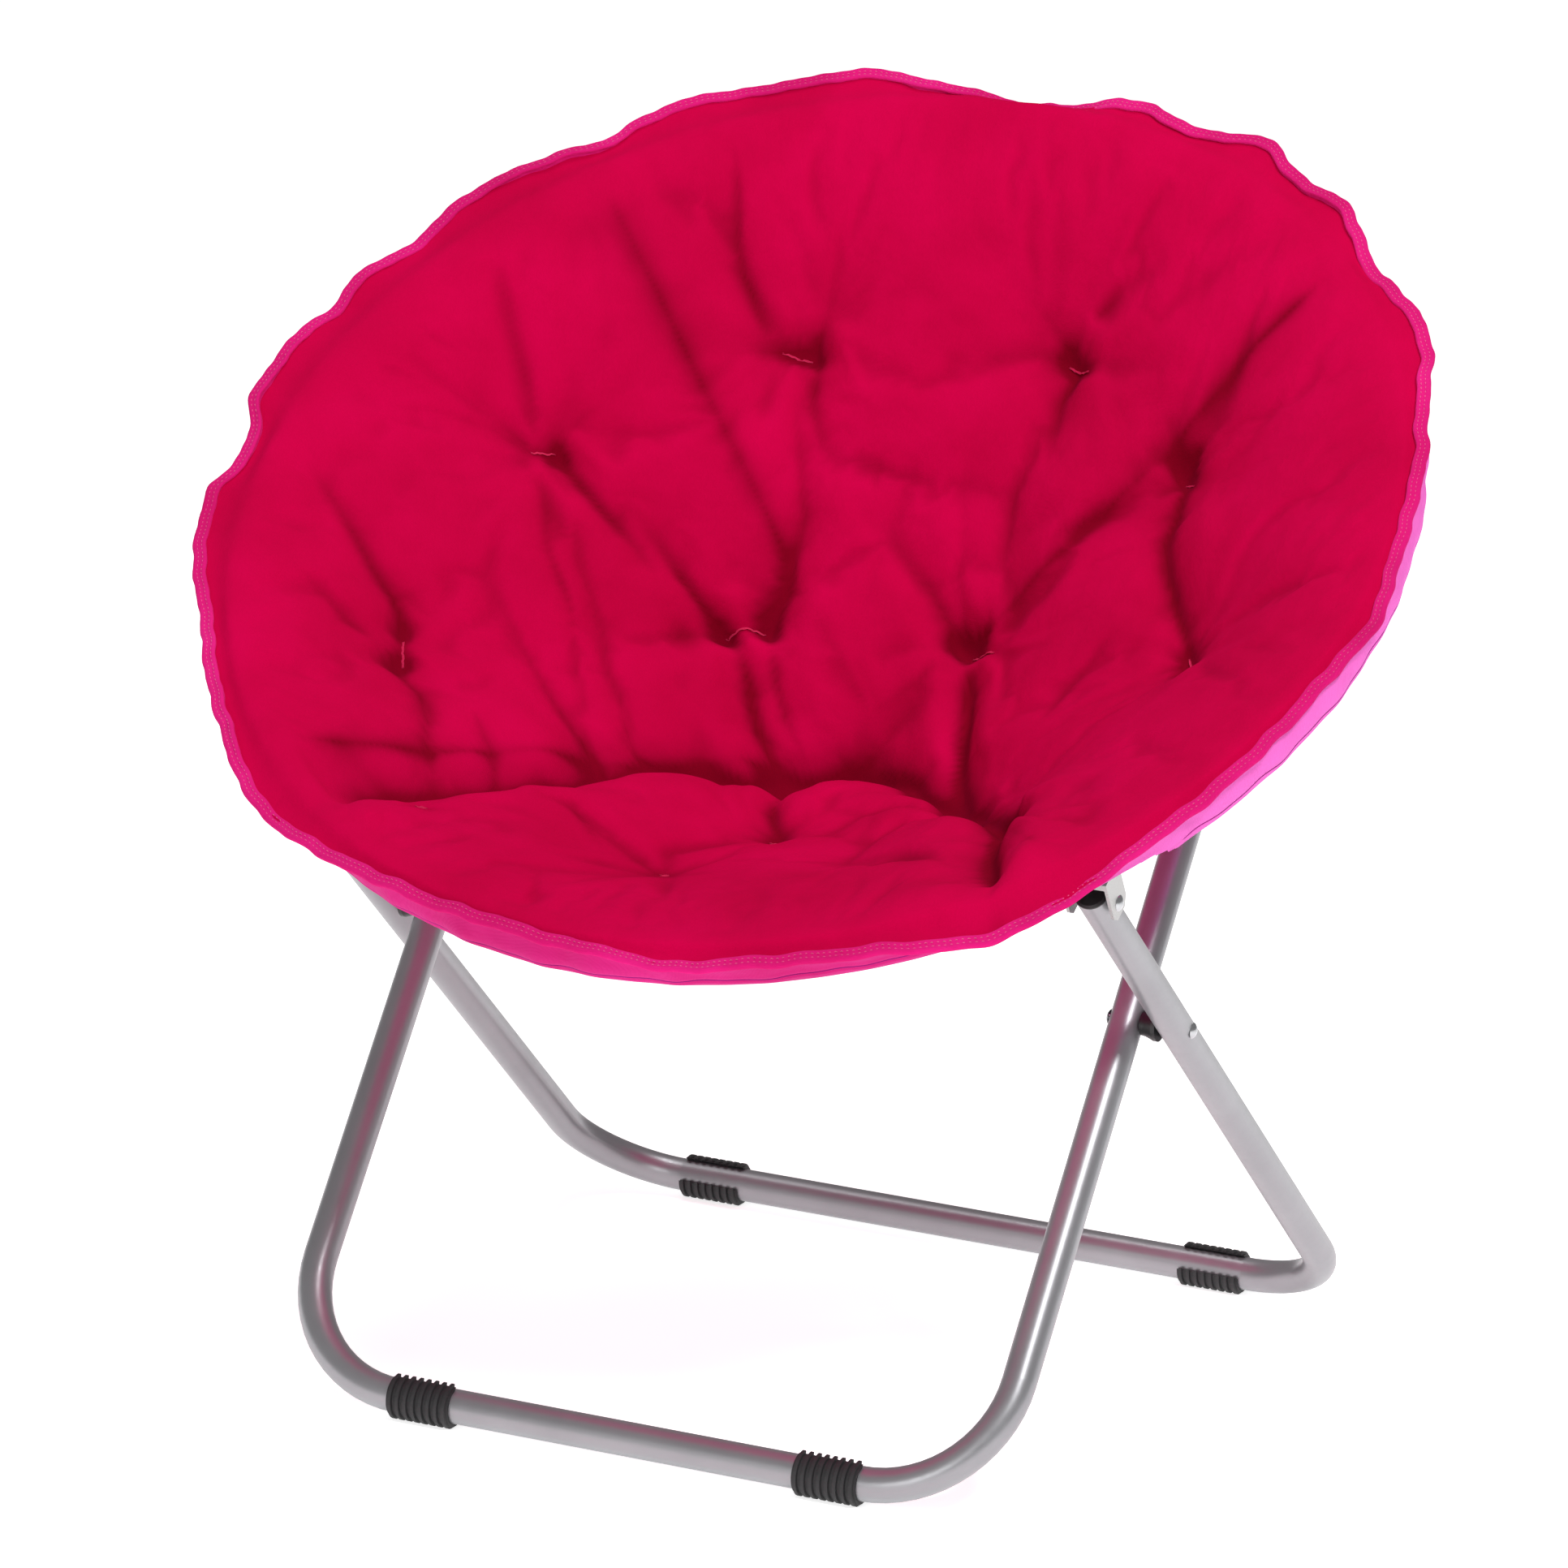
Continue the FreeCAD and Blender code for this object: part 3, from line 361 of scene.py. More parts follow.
def cushion_mesh(n):
    X, Y = disc_grid(n)
    rho = np.hypot(X, Y)
    phi = np.arctan2(X, -Y)
    R, _ = edge_at(phi)
    r = rho * 392.0 + (R - 4.0 - 392.0) * sstep((rho - 0.86) / 0.14)
    x, u = r * np.sin(phi), -r * np.cos(phi)
    return x, u, r


def loft(name, rings, closed=True, caps=False):
    """Quad strip through rows of points: rings has shape (count, points, 3)."""
    a, b = rings.shape[:2]
    verts = rings.reshape(-1, 3)
    faces = []
    for i in range(a if closed else a - 1):
        j = (i + 1) % a
        for k in range(b):
            l = (k + 1) % b
            faces.append((i * b + k, i * b + l, j * b + l, j * b + k))
    return verts, faces


def rod(points, radius, sides=8, closed=False):
    """Round bar along a line of points (metres), tapering to rounded ends when open."""
    P = np.asarray(points, float)
    n = len(P)
    if closed:
        T = np.roll(P, -1, 0) - np.roll(P, 1, 0)
    else:
        T = np.gradient(P, axis=0)
    T /= np.linalg.norm(T, axis=1)[:, None] + 1e-12
    ref = np.array([0.31, 0.52, 0.8])
    N = np.cross(T, ref)
    N /= np.linalg.norm(N, axis=1)[:, None]
    B = np.cross(T, N)
    rad = np.full(n, radius)
    if not closed:
        e = np.minimum(np.arange(n), np.arange(n)[::-1])
        rad = radius * np.where(e == 0, 0.35, np.where(e == 1, 0.85, 1.0))
    a = np.linspace(0, 2 * np.pi, sides, endpoint=False)
    rings = P[:, None, :] + rad[:, None, None] * (np.cos(a)[None, :, None] * N[:, None, :] + np.sin(a)[None, :, None] * B[:, None, :])
    verts = rings.reshape(-1, 3)
    faces = []
    m = n if closed else n - 1
    for i in range(m):
        j = (i + 1) % n
        for k in range(sides):
            l = (k + 1) % sides
            faces.append((i * sides + k, j * sides + k, j * sides + l, i * sides + l))
    if not closed:
        faces.append(tuple(range(sides)))
        faces.append(tuple((n - 1) * sides + k for k in range(sides - 1, -1, -1)))
    return verts, faces


def gather(name, parts):
    V_, F_, off = [], [], 0
    for v, f in parts:
        V_.append(np.asarray(v))
        F_ += [tuple(i + off for i in q) for q in f]
        off += len(v)
    return make(name, np.concatenate(V_), F_)


# ------------------------------------------------------------------ materials
def nodes_of(name):
    m = bpy.data.materials.new(name)
    m.use_nodes = True
    nt = m.node_tree
    nt.nodes.clear()
    out = nt.nodes.new("ShaderNodeOutputMaterial")
    bs = nt.nodes.new("ShaderNodeBsdfPrincipled")
    nt.links.new(bs.outputs[0], out.inputs[0])
    tc = nt.nodes.new("ShaderNodeTexCoord")
    return m, nt, bs, tc


def noise(nt, tc, scale, detail=3.0, rough=0.5, stretch=None):
    n = nt.nodes.new("ShaderNodeTexNoise")
    n.inputs["Scale"].default_value = scale
    n.inputs["Detail"].default_value = detail
    n.inputs["Roughness"].default_value = rough
    if stretch:
        mp = nt.nodes.new("ShaderNodeMapping")
        mp.inputs["Scale"].default_value = stretch
        nt.links.new(tc.outputs["Object"], mp.inputs["Vector"])
        nt.links.new(mp.outputs[0], n.inputs["Vector"])
    else:
        nt.links.new(tc.outputs["Object"], n.inputs["Vector"])
    return n


def ramp(nt, src, stops):
    r = nt.nodes.new("ShaderNodeValToRGB")
    r.color_ramp.elements[0].position = stops[0][0]
    r.color_ramp.elements[0].color = (*stops[0][1], 1)
    r.color_ramp.elements[1].position = stops[-1][0]
    r.color_ramp.elements[1].color = (*stops[-1][1], 1)
    for p, c in stops[1:-1]:
        e = r.color_ramp.elements.new(p)
        e.color = (*c, 1)
    nt.links.new(src, r.inputs[0])
    return r


def bump(nt, heights, bs):
    """heights: list of (socket, strength, distance in metres)."""
    last = None
    for sock, strength, dist in heights:
        b = nt.nodes.new("ShaderNodeBump")
        b.inputs["Strength"].default_value = strength
        b.inputs["Distance"].default_value = dist
        nt.links.new(sock, b.inputs["Height"])
        if last:
            nt.links.new(last.outputs[0], b.inputs["Normal"])
        last = b
    nt.links.new(last.outputs[0], bs.inputs["Normal"])


def weave(nt, tc, pitch, axis_a=(1, 0.15, 0.1), axis_b=(0.1, 0.8, 0.6)):
    """Fine woven height: two sets of threads crossing, in object space."""
    outs = []
    for k, (ax) in enumerate((axis_a, axis_b)):
        mp = nt.nodes.new("ShaderNodeMapping")
        mp.vector_type = "POINT"
        nt.links.new(tc.outputs["Object"], mp.inputs["Vector"])
        dot = nt.nodes.new("ShaderNodeVectorMath")
        dot.operation = "DOT_PRODUCT"
        L = math.sqrt(sum(c * c for c in ax))
        dot.inputs[1].default_value = tuple(c / L * 2 * math.pi / pitch for c in ax)
        nt.links.new(mp.outputs[0], dot.inputs[0])
        sn = nt.nodes.new("ShaderNodeMath")
        sn.operation = "SINE"
        nt.links.new(dot.outputs["Value"], sn.inputs[0])
        ab = nt.nodes.new("ShaderNodeMath")
        ab.operation = "ABSOLUTE"
        nt.links.new(sn.outputs[0], ab.inputs[0])
        outs.append(ab)
    mul = nt.nodes.new("ShaderNodeMath")
    mul.operation = "MULTIPLY"
    nt.links.new(outs[0].outputs[0], mul.inputs[0])
    nt.links.new(outs[1].outputs[0], mul.inputs[1])
    return mul.outputs[0]


def fabric(name, dark, mid, light, rough=0.85, sheen=0.35, tint=(1, 0.3, 0.5), pitch=0.0011, bumpy=0.35):
    m, nt, bs, tc = nodes_of(name)
    big = noise(nt, tc, 9.0, 4.0, 0.55)
    rp = ramp(nt, big.outputs["Fac"], [(0.30, dark), (0.52, mid), (0.75, light)])
    wv = weave(nt, tc, pitch)
    mix = nt.nodes.new("ShaderNodeMix")
    mix.data_type = "RGBA"
    mix.blend_type = "MULTIPLY"
    mix.inputs["Factor"].default_value = 0.16
    nt.links.new(rp.outputs[0], mix.inputs[6])
    wr = ramp(nt, wv, [(0.0, (0.62, 0.62, 0.62)), (0.8, (1, 1, 1))])
    nt.links.new(wr.outputs[0], mix.inputs[7])
    # painted shade: where the mesh's fold-depth attribute is high the base colour is multiplied towards (0.40, 0.4,
    # 0.24), darkening the cloth in its folds and creases
    shade = nt.nodes.new("ShaderNodeMix")
    shade.data_type = "RGBA"
    shade.blend_type = "MULTIPLY"
    att = nt.nodes.new("ShaderNodeAttribute")
    att.attribute_name = "fold_shade"
    nt.links.new(att.outputs["Fac"], shade.inputs["Factor"])
    nt.links.new(mix.outputs[2], shade.inputs[6])
    shade.inputs[7].default_value = (0.40, 0.4, 0.24, 1)
    nt.links.new(shade.outputs[2], bs.inputs["Base Color"])
    fine = noise(nt, tc, 900.0, 3.0, 0.6)
    rr = nt.nodes.new("ShaderNodeMapRange")
    rr.inputs["To Min"].default_value = rough - 0.08
    rr.inputs["To Max"].default_value = rough + 0.08
    nt.links.new(fine.outputs["Fac"], rr.inputs["Value"])
    nt.links.new(rr.outputs[0], bs.inputs["Roughness"])
    bs.inputs["Sheen Weight"].default_value = sheen
    bs.inputs["Sheen Roughness"].default_value = 0.45
    bs.inputs["Sheen Tint"].default_value = (*tint, 1)
    bs.inputs["Specular IOR Level"].default_value = 0.03
    slack = noise(nt, tc, 60.0, 4.0, 0.55)
    bump(nt, [(slack.outputs["Fac"], 0.25, 0.004), (wv, bumpy, 0.0004)], bs)
    return m


def metal(name, col, rough, grain=0.03, metallic=1.0, stretch=None, scale=220.0):
    m, nt, bs, tc = nodes_of(name)
    n1 = noise(nt, tc, 14.0, 4.0, 0.6)
    c = np.array(col)
    rp = ramp(nt, n1.outputs["Fac"], [(0.3, tuple(c * 0.94)), (0.7, tuple(np.minimum(c * 1.05, 1)))])
    nt.links.new(rp.outputs[0], bs.inputs["Base Color"])
    bs.inputs["Metallic"].default_value = metallic
    n2 = noise(nt, tc, scale, 5.0, 0.6, stretch)
    mr = nt.nodes.new("ShaderNodeMapRange")
    mr.inputs["To Min"].default_value = rough - 0.06
    mr.inputs["To Max"].default_value = rough + 0.08
    nt.links.new(n2.outputs["Fac"], mr.inputs["Value"])
    nt.links.new(mr.outputs[0], bs.inputs["Roughness"])
    n3 = noise(nt, tc, 2600.0, 2.0, 0.5)
    bump(nt, [(n2.outputs["Fac"], grain, 0.0006), (n3.outputs["Fac"], grain * 1.3, 0.0002)], bs)
    return m


def polymer(name, col, rough, grain, scale):
    m, nt, bs, tc = nodes_of(name)
    n1 = noise(nt, tc, 60.0, 4.0, 0.6)
    c = np.array(col)
    rp = ramp(nt, n1.outputs["Fac"], [(0.3, tuple(c * 0.8)), (0.7, tuple(c * 1.35))])
    nt.links.new(rp.outputs[0], bs.inputs["Base Color"])
    n2 = noise(nt, tc, scale, 4.0, 0.6)
    mr = nt.nodes.new("ShaderNodeMapRange")
    mr.inputs["To Min"].default_value = rough - 0.08
    mr.inputs["To Max"].default_value = rough + 0.08
    nt.links.new(n2.outputs["Fac"], mr.inputs["Value"])
    nt.links.new(mr.outputs[0], bs.inputs["Roughness"])
    bump(nt, [(n2.outputs["Fac"], grain, 0.0005)], bs)
    return m


MAT = {
    "silver_tube": metal("silver_paint", (0.32, 0.32, 0.335), 0.36, 0.04, 0.72),
    "zinc_bracket": metal("zinc_plate", (0.40, 0.395, 0.39), 0.25, 0.10, 1.0, (1, 1, 9), 320.0),
    "rivet_steel": metal("rivet_plate", (0.48, 0.485, 0.50), 0.24, 0.05, 1.0),
    "black_plastic": polymer("black_moulded", (0.007, 0.007, 0.007), 0.40, 0.12, 900.0),
    "black_rubber": polymer("black_rubber", (0.014, 0.014, 0.015), 0.62, 0.35, 500.0),
}
CUSHION = fabric("cushion_crimson", (0.44, 0.0, 0.038), (0.50, 0.0, 0.047), (0.56, 0.0, 0.058), 0.92, 0.04, (1, 0.0, 0.3), 0.0011, 0.30)
LINING = fabric("lining_pink", (0.50, 0.010, 0.13), (0.57, 0.014, 0.17), (0.64, 0.02, 0.21), 0.75, 0.25, (1, 0.3, 0.85), 0.0014, 0.30)
# painted light: the lining is painted a paler, bluer pink on its right side (object X rising from 0.22 to 0.34 m),
# standing in for the brighter light falling on that side
nt = LINING.node_tree
bs = [n for n in nt.nodes if n.type == "BSDF_PRINCIPLED"][0]
src = bs.inputs["Base Color"].links[0].from_socket
tcn = [n for n in nt.nodes if n.type == "TEX_COORD"][0]
sep = nt.nodes.new("ShaderNodeSeparateXYZ")
nt.links.new(tcn.outputs["Object"], sep.inputs[0])
mr = nt.nodes.new("ShaderNodeMapRange")
mr.interpolation_type = "SMOOTHSTEP"
mr.inputs["From Min"].default_value = 0.22
mr.inputs["From Max"].default_value = 0.34
nt.links.new(sep.outputs["X"], mr.inputs["Value"])
painted_side_light = nt.nodes.new("ShaderNodeMix")
painted_side_light.data_type = "RGBA"
nt.links.new(mr.outputs[0], painted_side_light.inputs["Factor"])
nt.links.new(src, painted_side_light.inputs[6])
# painted light: the paler pink laid over the right side of the lining
painted_side_light.inputs[7].default_value = (0.78, 0.14, 0.52, 1)
nt.links.new(painted_side_light.outputs[2], bs.inputs["Base Color"])
TAPE = fabric("edge_tape", (0.56, 0.006, 0.12), (0.68, 0.009, 0.17), (0.80, 0.018, 0.24), 0.80, 0.12, (1, 0.2, 0.6), 0.0009, 0.5)
THREAD = fabric("stitch_thread", (0.74, 0.07, 0.22), (0.80, 0.11, 0.28), (0.86, 0.16, 0.34), 0.6, 0.1, (1, 0.5, 0.8), 0.0006, 0.5)
TUFT_THREAD = fabric("tuft_thread", (0.55, 0.012, 0.07), (0.62, 0.02, 0.09), (0.70, 0.04, 0.13), 0.7, 0.05, (1, 0.3, 0.5), 0.0006, 0.4)
SEAM = fabric("seam_thread", (0.22, 0.004, 0.12), (0.30, 0.006, 0.17), (0.38, 0.01, 0.22), 0.7, 0.2, (1, 0.3, 0.8), 0.0006, 0.5)

slot_of = {s["node"]: s["material_slot"] for s in frame["record"]["subparts"]}
for node, ob in frame["nodes"].items():
    mat = MAT.get(slot_of[node])
    if mat is None:
        mat = {"cushion_fabric": CUSHION, "cover_fabric": LINING, "edge_binding": TAPE}[slot_of[node]]
    ob.data.materials.clear()
    ob.data.materials.append(mat)

# ------------------------------------------------------------------ camera
az, el, roll = math.radians(24.0), math.radians(14.6), math.radians(2.5)
back = Vector((math.sin(az) * math.cos(el), -math.cos(az) * math.cos(el), math.sin(el)))
fwd = -back
right = fwd.cross(Vector((0, 0, 1))).normalized()
up = right.cross(fwd)
right2 = right * math.cos(roll) + up * math.sin(roll)
up2 = up * math.cos(roll) - right * math.sin(roll)
cam_data = bpy.data.cameras.new("camera")
cam_data.sensor_width = 36.0
cam_data.sensor_fit = "HORIZONTAL"
cam_data.lens = 10901.7 / 1932 * 36.0
cam = bpy.data.objects.new("camera", cam_data)
scene.collection.objects.link(cam)
eye = Vector((0.0006, -0.0264, 0.3925)) + back * 5.5815
rot = Matrix((right2, up2, back)).transposed()
cam.matrix_world = Matrix.Translation(eye) @ rot.to_4x4()
cam_data.clip_start, cam_data.clip_end = 0.1, 60
scene.camera = cam


# ------------------------------------------------------------------ cushion
def simulate(x, u, v):
    """Inflate the top fabric between its tufts, then cap how far it moved."""
    n = x.shape[0]
    co = world(x, u, v).reshape(-1, 3)
    idx = np.arange(n * n).reshape(n, n)
    faces = np.stack([idx[:-1, :-1], idx[1:, :-1], idx[1:, 1:], idx[:-1, 1:]], -1).reshape(-1, 4)
    ob = make("cloth_top", co, faces)
    r = np.hypot(x, u).ravel()
    pin = sstep((r - 356.0) / 16.0)
    xf, uf = x.ravel(), u.ravel()
    for tx, tu, ang, ln in TUFTS:
        a = math.radians(ang)
        dx, du = xf - tx, uf - tu
        al, ac = dx * math.cos(a) + du * math.sin(a), -dx * math.sin(a) + du * math.cos(a)
        d = np.hypot(np.maximum(np.abs(al) - ln / 2, 0), ac)
        pin = np.maximum(pin, 1 - sstep((d - 3.0) / 5.0))
    for pts in (SEAT_LINE, SIDE_LINE):
        d, _ = seg_dist(xf, uf, pts)
        pin = np.maximum(pin, 0.9 * np.exp(-(d / 6.0) ** 2))
    for depth, width, taper, pts in FOLDS:
        if depth > 8:
            d, _ = seg_dist(xf, uf, pts)
            pin = np.maximum(pin, 0.04 * depth * np.exp(-(d / 5.0) ** 2))
    vg = ob.vertex_groups.new(name="pin")
    lev = np.round(pin * 20).astype(int)
    for k in range(1, 21):
        ids = np.where(lev == k)[0]
        if len(ids):
            vg.add([int(i) for i in ids], k / 20.0, "REPLACE")
    md = ob.modifiers.new("Cloth", "CLOTH")
    s = md.settings
    s.quality = 6
    s.mass = 0.3
    s.tension_stiffness = 22
    s.compression_stiffness = 10
    s.shear_stiffness = 12
    s.bending_stiffness = 0.35
    s.tension_damping = 12
    s.compression_damping = 12
    s.shear_damping = 12
    s.bending_damping = 1.0
    s.air_damping = 2.0
    s.use_pressure = True
    s.uniform_pressure_force = 2.6
    s.shrink_min = -0.005
    s.effector_weights.gravity = 0
    s.vertex_group_mass = "pin"
    s.pin_stiffness = 1.0
    md.collision_settings.use_collision = False
    md.collision_settings.use_self_collision = False
    md.point_cache.frame_start = 1
    md.point_cache.frame_end = 20
    for f in range(1, 21):
        scene.frame_set(f)
    dg = bpy.context.evaluated_depsgraph_get()
    ev = ob.evaluated_get(dg)
    me = ev.to_mesh()
    out = np.zeros(len(me.vertices) * 3)
    me.vertices.foreach_get("co", out)
    ev.to_mesh_clear()
    out = out.reshape(-1, 3)
    bpy.data.objects.remove(ob)
    scene.frame_set(1)
    move = out - co
    if not np.isfinite(move).all():
        return co.reshape(n, n, 3)
    L = np.linalg.norm(move, axis=1)
    cap = 0.012
    k = np.where(L > 1e-9, cap * np.tanh(L / cap) / np.maximum(L, 1e-9), 1)
    print("cloth moved mean %.4f max %.4f" % (L.mean(), L.max()))
    return (co + move * k[:, None]).reshape(n, n, 3)


N = 210
cx, cu, cr = cushion_mesh(N)
cv = top_height(cx, cu)
top = world(cx, cu, cv)
top = simulate(cx, cu, cv)
low = world(cx, cu, low_height(cx, cu))
n1 = N + 1
idx = np.arange(n1 * n1).reshape(n1, n1)
rim_mask = np.zeros((n1, n1), bool)
rim_mask[0, :] = rim_mask[-1, :] = rim_mask[:, 0] = rim_mask[:, -1] = True
low_id = idx + n1 * n1
verts = np.concatenate([top.reshape(-1, 3), low.reshape(-1, 3)])
faces_top = np.stack([idx[:-1, :-1], idx[1:, :-1], idx[1:, 1:], idx[:-1, 1:]], -1).reshape(-1, 4)
faces_low = np.stack([low_id[:-1, :-1], low_id[:-1, 1:], low_id[1:, 1:], low_id[1:, :-1]], -1).reshape(-1, 4)
loop = ([(i, 0) for i in range(N)] + [(N, j) for j in range(N)]
        + [(i, N) for i in range(N, 0, -1)] + [(0, j) for j in range(N, 0, -1)])
side = []
for a in range(len(loop)):
    b = (a + 1) % len(loop)
    side.append((idx[loop[a]], low_id[loop[a]], low_id[loop[b]], idx[loop[b]]))
cushion = make("cushion", verts, np.concatenate([faces_top, faces_low, np.array(side)]))
bm = bmesh.new()
bm.from_mesh(cushion.data)
bmesh.ops.recalc_face_normals(bm, faces=bm.faces)
bm.to_mesh(cushion.data)
bm.free()


def blur(a, n):
    for _ in range(n):
        p = np.pad(a, 1, mode="edge")
        a = (p[:-2, 1:-1] + p[2:, 1:-1] + p[1:-1, :-2] + p[1:-1, 2:] + 2 * a) / 6.0
    return a


# depth of the folds below their surroundings, near and wide, kept with the mesh as painted shade that darkens the
# cloth's colour in the folds and creases
ringn = world(0, 0, 1) - world(0, 0, 0)
hgt = ((top - world(0, 0, 0)) @ ringn) / (ringn @ ringn)
cell = 780.0 / N
near = blur(hgt, int((9 / cell) ** 2 * 3)) - hgt
wide = blur(hgt, int((26 / cell) ** 2 * 3)) - hgt
inner = np.maximum(1 - sstep((np.hypot(cx, cu) - 335) / 25), np.exp(-(seg_dist(cx, cu, SIDE_LINE)[0] / 9.0) ** 2))
fold_shade = np.clip(0.17 * np.maximum(near, 0) + 0.04 * np.maximum(wide, 0), 0, 1) * inner
# painted shade in the folds, stored on the top fabric only; the underside gets none
at = cushion.data.attributes.new("fold_shade", "FLOAT", "POINT")
at.data.foreach_set("value", np.concatenate([fold_shade.ravel(), np.zeros(fold_shade.size)]).astype(np.float32))
print("fold share", float((fold_shade > 0.3).mean()), "max", float(fold_shade.max()))
cushion.data.materials.append(CUSHION)
cushion.data.materials.append(LINING)
mi = np.zeros(len(cushion.data.polygons), np.int32)
mi[len(faces_top):] = 1
cushion.data.polygons.foreach_set("material_index", mi)
cushion.data.polygons.foreach_set("use_smooth", [True] * len(mi))
sub = cushion.modifiers.new("Subdivision", "SUBSURF")
sub.levels = sub.render_levels = 1
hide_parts("seat_pad", "seat_pad_front_lip")


def surface(x, u):
    """Point of the finished top fabric over (x, u), weighted from the nearest grid points."""
    d = np.hypot(cx - x, cu - u).ravel()
    i = np.argpartition(d, 6)[:6]
    w = 1.0 / (d[i] + 0.3) ** 2
    return (top.reshape(-1, 3)[i] * w[:, None]).sum(0) / w.sum()


# ------------------------------------------------------------------ bound edge
NP = 1080
phi = np.linspace(-np.pi, np.pi, NP, endpoint=False)
R, Vr = edge_at(phi)
# folded tape: a flat loop with a ridge along each side and a groove at the stitching
prof = np.array([(0.3, 0.0), (0.0, 1.4), (-1.0, 2.2), (-2.3, 1.9), (-3.6, 1.5), (-5.0, 1.7), (-6.4, 2.5), (-7.5, 2.6), (-8.4, 2.0),
                 (-8.7, 1.0), (-7.8, 0.0), (-8.6, -1.0), (-8.3, -2.0), (-7.4, -2.4), (-6.0, -2.3), (-4.6, -1.6), (-3.0, -1.6),
                 (-1.2, -2.0), (-0.1, -1.3)])
# the tape leans with the frill it is sewn to
lean = np.radians(5.0 + 7.0 * np.sin(phi * 9 + 0.5) + 5.0 * np.sin(phi * 17))
rings = np.zeros((NP, len(prof), 3))
for k, (a, b) in enumerate(prof):
    wob = 0.25 * np.sin(phi * 190 + k)
    rr = R + a * np.cos(lean) - b * np.sin(lean) + wob * 0.5
    vv = Vr + a * np.sin(lean) + b * np.cos(lean) + wob * 0.4
    rings[:, k] = world(rr * np.sin(phi), -rr * np.cos(phi), vv)
v_, f_ = loft("edge", rings)
binding = make("bound_edge", v_, f_)
binding.data.materials.append(TAPE)
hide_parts("cover_edge_rear", "cover_edge_front")

# stitches along the tape, on its upper and lower side
parts = []
length = 2 * np.pi * 397
count = int(length / 3.6)
fine_phi = lambda t: -np.pi + 2 * np.pi * t
for k in range(count):
    for s_, off in ((1, -5.7), (-1, -5.7), (1, -2.9)):
        t0 = (k + 0.12) / count
        t1 = (k + 0.78) / count
        pa = np.array([fine_phi(t0), fine_phi((t0 + t1) / 2), fine_phi(t1)])
        rr, vv = edge_at(pa)
        ln = np.radians(5.0 + 7.0 * np.sin(pa * 9 + 0.5) + 5.0 * np.sin(pa * 17))
        b = s_ * (np.array([1.6, 2.35, 1.8]) if off < -4 else np.array([1.2, 1.9, 1.4]))
        r2 = rr + off * np.cos(ln) - b * np.sin(ln)
        v2 = vv + off * np.sin(ln) + b * np.cos(ln)
        parts.append(rod(world(r2 * np.sin(pa), -r2 * np.cos(pa), v2), 0.00042, 5))
edge_stitch = gather("edge_stitching", parts)
edge_stitch.data.materials.append(THREAD)

# ------------------------------------------------------------------ lining round the ring
NL, NS = 900, 44
phi = np.linspace(-np.pi, np.pi, NL, endpoint=False)
R, Vr = edge_at(phi)


def lining_line(phi, R, Vr, t, grow=0.0):
    """Section of the lining: from under the tape, out round the tube, to below the dish."""
    d = np.degrees(np.abs(phi))
    bulge = 2.6 * np.exp(-((d - 84) / 14.0) ** 2) + 0.7 * np.sin(phi * 7 + 1)
    tube = 13.6 + bulge
    # way points (r, v)
    w = [(R - 4.5, Vr - 2.4),
         (0.5 * (R - 4.5) + 0.5 * (373 + tube * 0.97), 0.5 * (Vr - 2.4) + 0.5 * (tube * 0.25)),
         (373 + tube * 0.99, tube * 0.08),
         (373 + tube * 0.84, -tube * 0.56),
         (373 + tube * 0.40, -15.2 + 0 * phi),
         (373 - 3.0 + 0 * phi, -16.0 + 0 * phi),
         (361 + 0 * phi, -16.6 + 0 * phi),
         (349 + 0 * phi, -19.5 + 0 * phi)]
    P = np.array([[a + 0 * phi, b + 0 * phi] for a, b in w])       # (8, 2, NL)
    s = t * (len(w) - 1)
    i = int(min(math.floor(s), len(w) - 2))
    f = s - i
    p0 = P[max(i - 1, 0)]
    p1, p2 = P[i], P[i + 1]
    p3 = P[min(i + 2, len(w) - 1)]
    q = 0.5 * (2 * p1 + (p2 - p0) * f + (2 * p0 - 5 * p1 + 4 * p2 - p3) * f * f + (3 * p1 - p0 - 3 * p2 + p3) * f ** 3)
    return q


def lining_point(phi, t, grow=0.0):
    R, Vr = edge_at(phi)
    q = lining_line(phi, R, Vr, t)
    e = 1e-3
    q2 = lining_line(phi, R, Vr, min(t + e, 1.0))
    q0 = lining_line(phi, R, Vr, max(t - e, 0.0))
    tx, tv = (q2 - q0)
    L = np.hypot(tx, tv) + 1e-9
    nx, nv = -tv / L, tx / L                      # away from the tube
    # slack along the ring: little vertical puckers, flat at the seam
    sl = 0.9 * np.sin(phi * 41 + 2.2 * np.sin(phi * 6)) + 0.5 * np.sin(phi * 83 + 1.3)
    away = grow + sl * math.sin(math.pi * min(1, max(0, t / 0.55))) * 0.9
    seam = -1.1 * math.exp(-((t - SEAM_T) / 0.018) ** 2)
    away = away + seam
    sgn = np.where(nx * 1.0 + 0.0 * nv > 0, 1, -1) if t < 0.5 else np.where(nv < 0, 1, -1)
    return q[0] + nx * sgn * away, q[1] + nv * sgn * away


SEAM_T = 0.385
ts = np.linspace(0, 1, NS)
grid = np.zeros((NL, NS, 3))
for k, t in enumerate(ts):
    r, v = lining_point(phi, float(t))
    grid[:, k] = world(r * np.sin(phi), -r * np.cos(phi), v)
fac = []
deg = np.degrees(phi)


def cut_out(d, t):
    """Openings in the lining where the four brackets come through."""
    d = abs(d)
    if 40.8 < d < 57.0:
        edge = 0.50 - 0.16 * math.sin(math.pi * (d - 40.8) / 16.2) ** 0.4
        return t > edge
    if 135.0 < d < 144.5:
        return t > 0.56
    return False


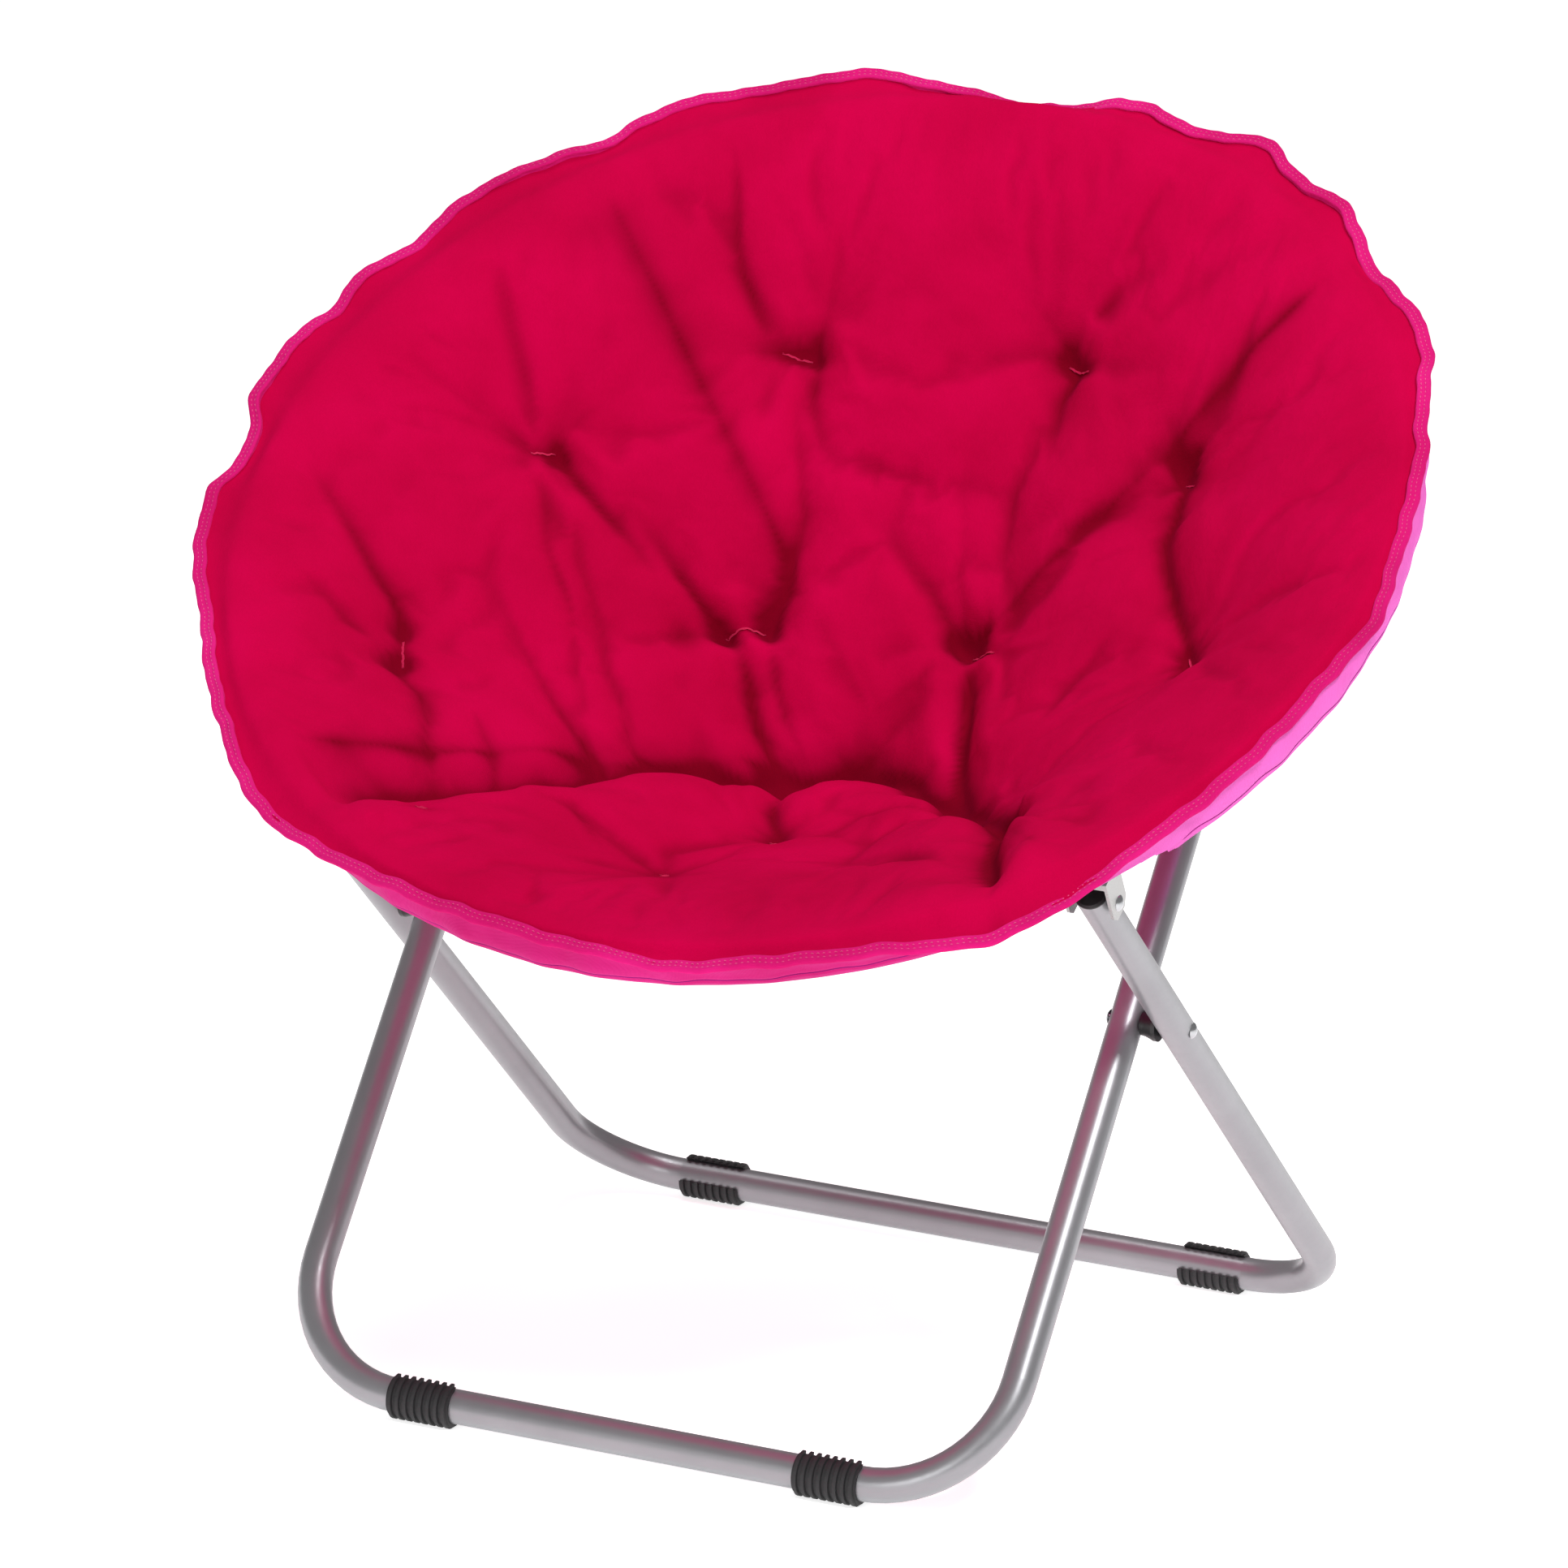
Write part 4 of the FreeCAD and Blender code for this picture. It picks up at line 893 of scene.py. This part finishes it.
for i in range(NL):
    j = (i + 1) % NL
    dm = deg[i] + 180.0 / NL
    for k in range(NS - 1):
        if cut_out(dm, (ts[k] + ts[k + 1]) / 2):
            continue
        fac.append((i * NS + k, i * NS + k + 1, j * NS + k + 1, j * NS + k))
lining = make("ring_lining", grid.reshape(-1, 3), fac)
bm = bmesh.new()
bm.from_mesh(lining.data)
loose = [v for v in bm.verts if not v.link_faces]
bmesh.ops.delete(bm, geom=loose, context="VERTS")
bm.to_mesh(lining.data)
bm.free()
lining.data.materials.append(LINING)
sol = lining.modifiers.new("Thickness", "SOLIDIFY")
sol.thickness = 0.0009
sol.offset = 0.0
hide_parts("cover_sleeve_rear", "cover_sleeve_front")

# seam line round the lining
parts = []
for a0, a1 in ((-180, -57.2), (-40.6, 40.6), (57.2, 180)):
    pa = np.radians(np.linspace(a0, a1, int(abs(a1 - a0) * 3)))
    r, v = lining_point(pa, SEAM_T, 0.6)
    pts = world(r * np.sin(pa), -r * np.cos(pa), v)
    parts.append(rod(pts, 0.00055, 6))
seam_line = gather("lining_seam", parts)
seam_line.data.materials.append(SEAM)

# ------------------------------------------------------------------ tuft stitches
parts = []
nrm = world(0, 0, 1) - world(0, 0, 0)
nrm = nrm / np.linalg.norm(nrm)
for tx, tu, ang, ln in TUFTS:
    a = math.radians(ang)
    c_, s_ = math.cos(a), math.sin(a)
    n_ = max(5, int(ln / 1.6))
    line = np.array([surface(tx + q * c_, tu + q * s_) for q in np.linspace(-ln / 2, ln / 2, n_)])
    across = world(-s_, c_, 0) - world(0, 0, 0)
    across = across / np.linalg.norm(across)
    for off in (-0.0004, 0.0004):
        tw = 0.00025 * np.sin(np.arange(n_) * 2.4 + off * 6000)
        parts.append(rod(line + across * off + nrm * (0.0005 + tw)[:, None], 0.00045, 6))
tuft = gather("tuft_stitches", parts)
tuft.data.materials.append(TUFT_THREAD)

# ------------------------------------------------------------------ transforms baked into the pieces
RO = Vector(world(0, 0, 0))


def ringpt(u, v):
    return tuple(world(0, u, v))


dvec = (-math.cos(math.radians(75)), math.sin(math.radians(75)))
for ob in (cushion, tuft):
    ringpt(dvec[0] * 26, dvec[1] * 26)
    ringpt(dvec[0] * 54, dvec[1] * 54)
    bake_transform(ob)
for ob in (binding, edge_stitch, lining, seam_line):
    ringpt(-60, 0)
    ringpt(-120, 0)
    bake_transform(ob)

# ------------------------------------------------------------------ floor and light
me = bpy.data.meshes.new("floor")
me.from_pydata([(-14, -14, 0), (14, -14, 0), (14, 14, 0), (-14, 14, 0)], [], [(0, 1, 2, 3)])
floor = bpy.data.objects.new("floor", me)
scene.collection.objects.link(floor)
m, nt, bs, tc = nodes_of("floor_pale")
fn = noise(nt, tc, 3.0, 2.0)
rp = ramp(nt, fn.outputs["Fac"], [(0.3, (0.88, 0.88, 0.88)), (0.7, (0.90, 0.90, 0.90))])
nt.links.new(rp.outputs[0], bs.inputs["Base Color"])
bs.inputs["Emission Color"].default_value = (1, 1, 1, 1)
bs.inputs["Emission Strength"].default_value = 0.74
bs.inputs["Roughness"].default_value = 0.9
bs.inputs["Specular IOR Level"].default_value = 0.1
me.materials.append(m)

w = bpy.data.worlds.new("studio")
w.use_nodes = True
w.node_tree.nodes["Background"].inputs[0].default_value = (1.0, 1.0, 1.0, 1)
w.node_tree.nodes["Background"].inputs[1].default_value = 0.29
scene.world = w


def area(name, loc, aim, size, power, col=(1, 1, 1)):
    d = bpy.data.lights.new(name, "AREA")
    d.shape = "RECTANGLE"
    d.size, d.size_y = size
    d.energy = power
    d.color = col
    o = bpy.data.objects.new(name, d)
    scene.collection.objects.link(o)
    o.location = loc
    o.rotation_mode = "QUATERNION"
    o.rotation_quaternion = (Vector(aim) - Vector(loc)).to_track_quat("-Z", "Y")
    return o


area("key", (1.9, -1.5, 3.0), (0, 0, 0.5), (0.7, 0.7), 77)
area("fill", (0.0, -3.5, 1.0), (0, 0, 0.3), (1.5, 1.2), 23)
area("top", (-0.5, 0.3, 3.0), (0, 0, 0.45), (1.1, 1.1), 28)
scene.view_settings.view_transform = "Standard"
scene.view_settings.look = "None"
